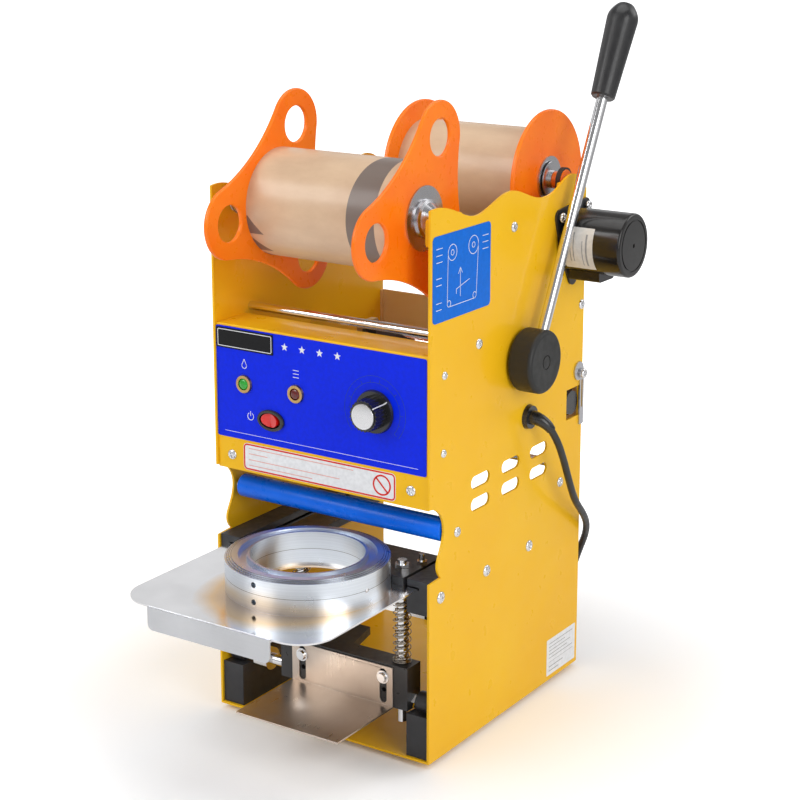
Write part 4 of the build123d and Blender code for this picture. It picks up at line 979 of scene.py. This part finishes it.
# Each size's head radius in mm, and its screws' places on a side plate.
SCREW_SIZES = (
    ("small", 3.7, ((21, 331), (20, 266))),
    ("big", 4.6, ((129, 435), (74, 346), (251, 345), (42, 192.5), (217, 187))),
    ("low", 5.3, ((17, 143), (90, 143), (162.5, 143))),
)
SCREW_HEIGHT = 2.2
PANEL_SCREWS = ((-93, 234.5, 20), (91, 236, 64))
FLANGE_SCREWS = ((206, 431, 30), (253, 435, 75))
FLANGE_FACE = HALF_WIDTH + 4.1
STRAP_FACE = HALF_WIDTH + 3.6


def case_screws():
    """The screws of the side plates and the front panel."""
    for size, radius, spots in SCREW_SIZES:
        places = []
        for side in (-1, 1):
            places += [facing(at(side * HALF_WIDTH, y, z), (side, 0, 0), 37 * i + 11 * side)
                       for i, (y, z) in enumerate(spots)]
        if size == "big":
            places += [facing(at(x, PANEL_Y, z), (0, -1, 0), turn)
                       for x, z, turn in PANEL_SCREWS]
            places += [facing(at(FLANGE_FACE, y, z), (1, 0, 0), turn) for y, z, turn in FLANGE_SCREWS]
            places.append(facing(at(STRAP_FACE, 252, 281), (1, 0, 0), 15))
        screws = scatter(f"case_screws_{size}", pan_head(radius, SCREW_HEIGHT), places, chrome, "frame")
        if size == "low":
            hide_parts("case_screws")
    low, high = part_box("upper_ring")
    axis, reach = (low + high) / 2, (high.x - low.x) / 2
    angle = math.radians(-10)
    out = Vector((math.cos(angle), math.sin(angle), 0))
    spot = Vector((axis.x, axis.y, low.z)) + out * (reach - 0.1 * MM)
    scatter("ring_set_screw", pan_head(1.9, 1.2), [facing(spot, out, 30)], chrome, "slide")


case_screws()


# ------------------------------------------------------------------ springs and lead

def curve_tube(name, points, radius, order=3, resolution=3, sides=6):
    """A NURBS tube through a list of control points, as a curve object."""
    data = bpy.data.curves.new(name, "CURVE")
    data.dimensions = "3D"
    data.bevel_depth = radius
    data.bevel_resolution = sides
    data.resolution_u = resolution
    data.use_fill_caps = True
    spline = data.splines.new("NURBS")
    spline.points.add(len(points) - 1)
    for control, point in zip(spline.points, points):
        control.co = (*point, 1)
    spline.order_u = order
    spline.use_endpoint_u = True
    thing = bpy.data.objects.new(name, data)
    bpy.context.scene.collection.objects.link(thing)
    return thing


def as_mesh(thing, material):
    """Turns a curve object into a plain mesh object of the same name."""
    mesh = bpy.data.meshes.new_from_object(thing.evaluated_get(bpy.context.evaluated_depsgraph_get()))
    name = thing.name
    bpy.data.objects.remove(thing)
    return piece(name, mesh, material, None)


def spring_points(foot, length, radius, turns, closed=1.5, per_turn=16):
    """Control points of a vertical coil spring with closed end turns, sizes in mm."""
    points = []
    total = int(turns * per_turn)
    for i in range(total + 1):
        turn = i / per_turn
        share = min(max((turn - closed) / (turns - 2 * closed), 0), 1)
        ends = min(turn, closed) + max(turn - (turns - closed), 0)
        gap = 1.25 * radius / 7
        z = ends * gap + share * (length - 2 * closed * gap)
        angle = 2 * math.pi * turn
        points.append(foot + Vector((radius * math.cos(angle), radius * math.sin(angle), z)) * MM)
    return points


LIFT_RODS = (("left", -31), ("right", 73))
LIFT_ROD_Y = 16
# Each spring's radius, wire radius and turns, in mm.
LIFTER_COILS = (("inner", 5.3, 0.95, 17), ("outer", 7.7, 0.42, 13))
HEAD_COIL_RADIUS, HEAD_WIRE, HEAD_TURNS = 5, 0.8, 8


def lifter_springs():
    """A tight spring and a loose outer one on each guide rod, between the crossbar and the tray plate.
    """
    spring_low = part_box("crossbar")[1].z
    spring_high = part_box("tray_plate")[0].z
    gap = (spring_high - spring_low) / MM
    for side, x in LIFT_RODS:
        for kind, radius, wire, turns in LIFTER_COILS:
            foot = Vector((at(x, 0, 0).x, at(0, LIFT_ROD_Y, 0).y, spring_low + wire * MM))
            line = curve_tube(f"lifter_spring_{kind}_{side}",
                              spring_points(foot, gap - 2 * wire - 0.2, radius, turns), wire * MM)
            spring = as_mesh(line, spring_wire)
            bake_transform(spring)
    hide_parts("lifter_springs")


def head_springs():
    """Two return springs between the head and its bridge."""
    low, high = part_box("head_springs")
    inset = (HEAD_COIL_RADIUS + HEAD_WIRE) * MM
    for side, x in (("left", low.x + inset), ("right", high.x - inset)):
        foot = Vector((x, (low.y + high.y) / 2, low.z + 0.2 * MM))
        length = (high.z - low.z) / MM - 0.6
        line = curve_tube(f"head_spring_{side}",
                          spring_points(foot, length, HEAD_COIL_RADIUS, HEAD_TURNS), HEAD_WIRE * MM)
        spring = as_mesh(line, spring_wire)
        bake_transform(spring)
    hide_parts("head_springs")


lifter_springs()
head_springs()

CORD_RADIUS = 3.2
COIL_CENTRE = (0.0, 319.0)
COIL_RADII = (44.0, 37.6, 31.2, 31.2, 37.6, 44.0)
FLOOR = -BOTTOM_Z / MM
PLUG_Z = FLOOR + 9.0
PLUG_ENTRY = [(-8, 275, PLUG_Z + 0.4), (-13, 275, PLUG_Z)]
ROUTE = [
    (129.455, 163.93, 252.73), (132.6, 169.7, 242.7), (132.6, 181.5, 223), (131.5, 195, 198),
    (129, 211, 175), (125, 232, 158.5), (118.5, 255, 140), (109, 272, 121), (98, 279.5, 100),
    (90, 280.5, 76), (83, 280, 52), (76.5, 279, 33), (65.5, 278, 18.5), (51, 276.8, 7.5),
    (34.5, 275.9, 1), (17.5, 275.2, FLOOR + CORD_RADIUS),
]


def coil_turns():
    """The lead's turns: three inwards on the floor, then three outwards on top of them."""
    per_turn = 24
    last = len(COIL_RADII) - 1
    steps_in, step_turn = 0.80, 0.17
    climb_from, climb_turn = 2.62, 0.24
    points = []
    for i in range(len(COIL_RADII) * per_turn + 1):
        turn, phase = divmod(i / per_turn, 1)
        turn = min(int(turn), last)
        if i == len(COIL_RADII) * per_turn:
            phase = 1.0
        following = COIL_RADII[min(turn + 1, last)]
        shift = min(max((phase - steps_in) / step_turn, 0), 1)
        radius = COIL_RADII[turn] + (following - COIL_RADII[turn]) * shift
        climb = min(max((i / per_turn - climb_from) / climb_turn, 0), 1)
        height = FLOOR + CORD_RADIUS + 2 * CORD_RADIUS * climb
        angle = -math.pi / 2 - 2 * math.pi * phase
        points.append((COIL_CENTRE[0] + radius * math.cos(angle),
                       COIL_CENTRE[1] + radius * math.sin(angle), height))
    return points


def mains_lead():
    """The lead from the gland to the coil behind the machine, and on to its plug."""
    line = [at(*point) for point in ROUTE + coil_turns() + PLUG_ENTRY]
    lead = curve_tube("mains_lead", line, CORD_RADIUS * MM, resolution=4)
    lead.data.materials.append(lead_rubber)
    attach(lead, "frame")
    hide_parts("power_cord", "cord_coil")


mains_lead()
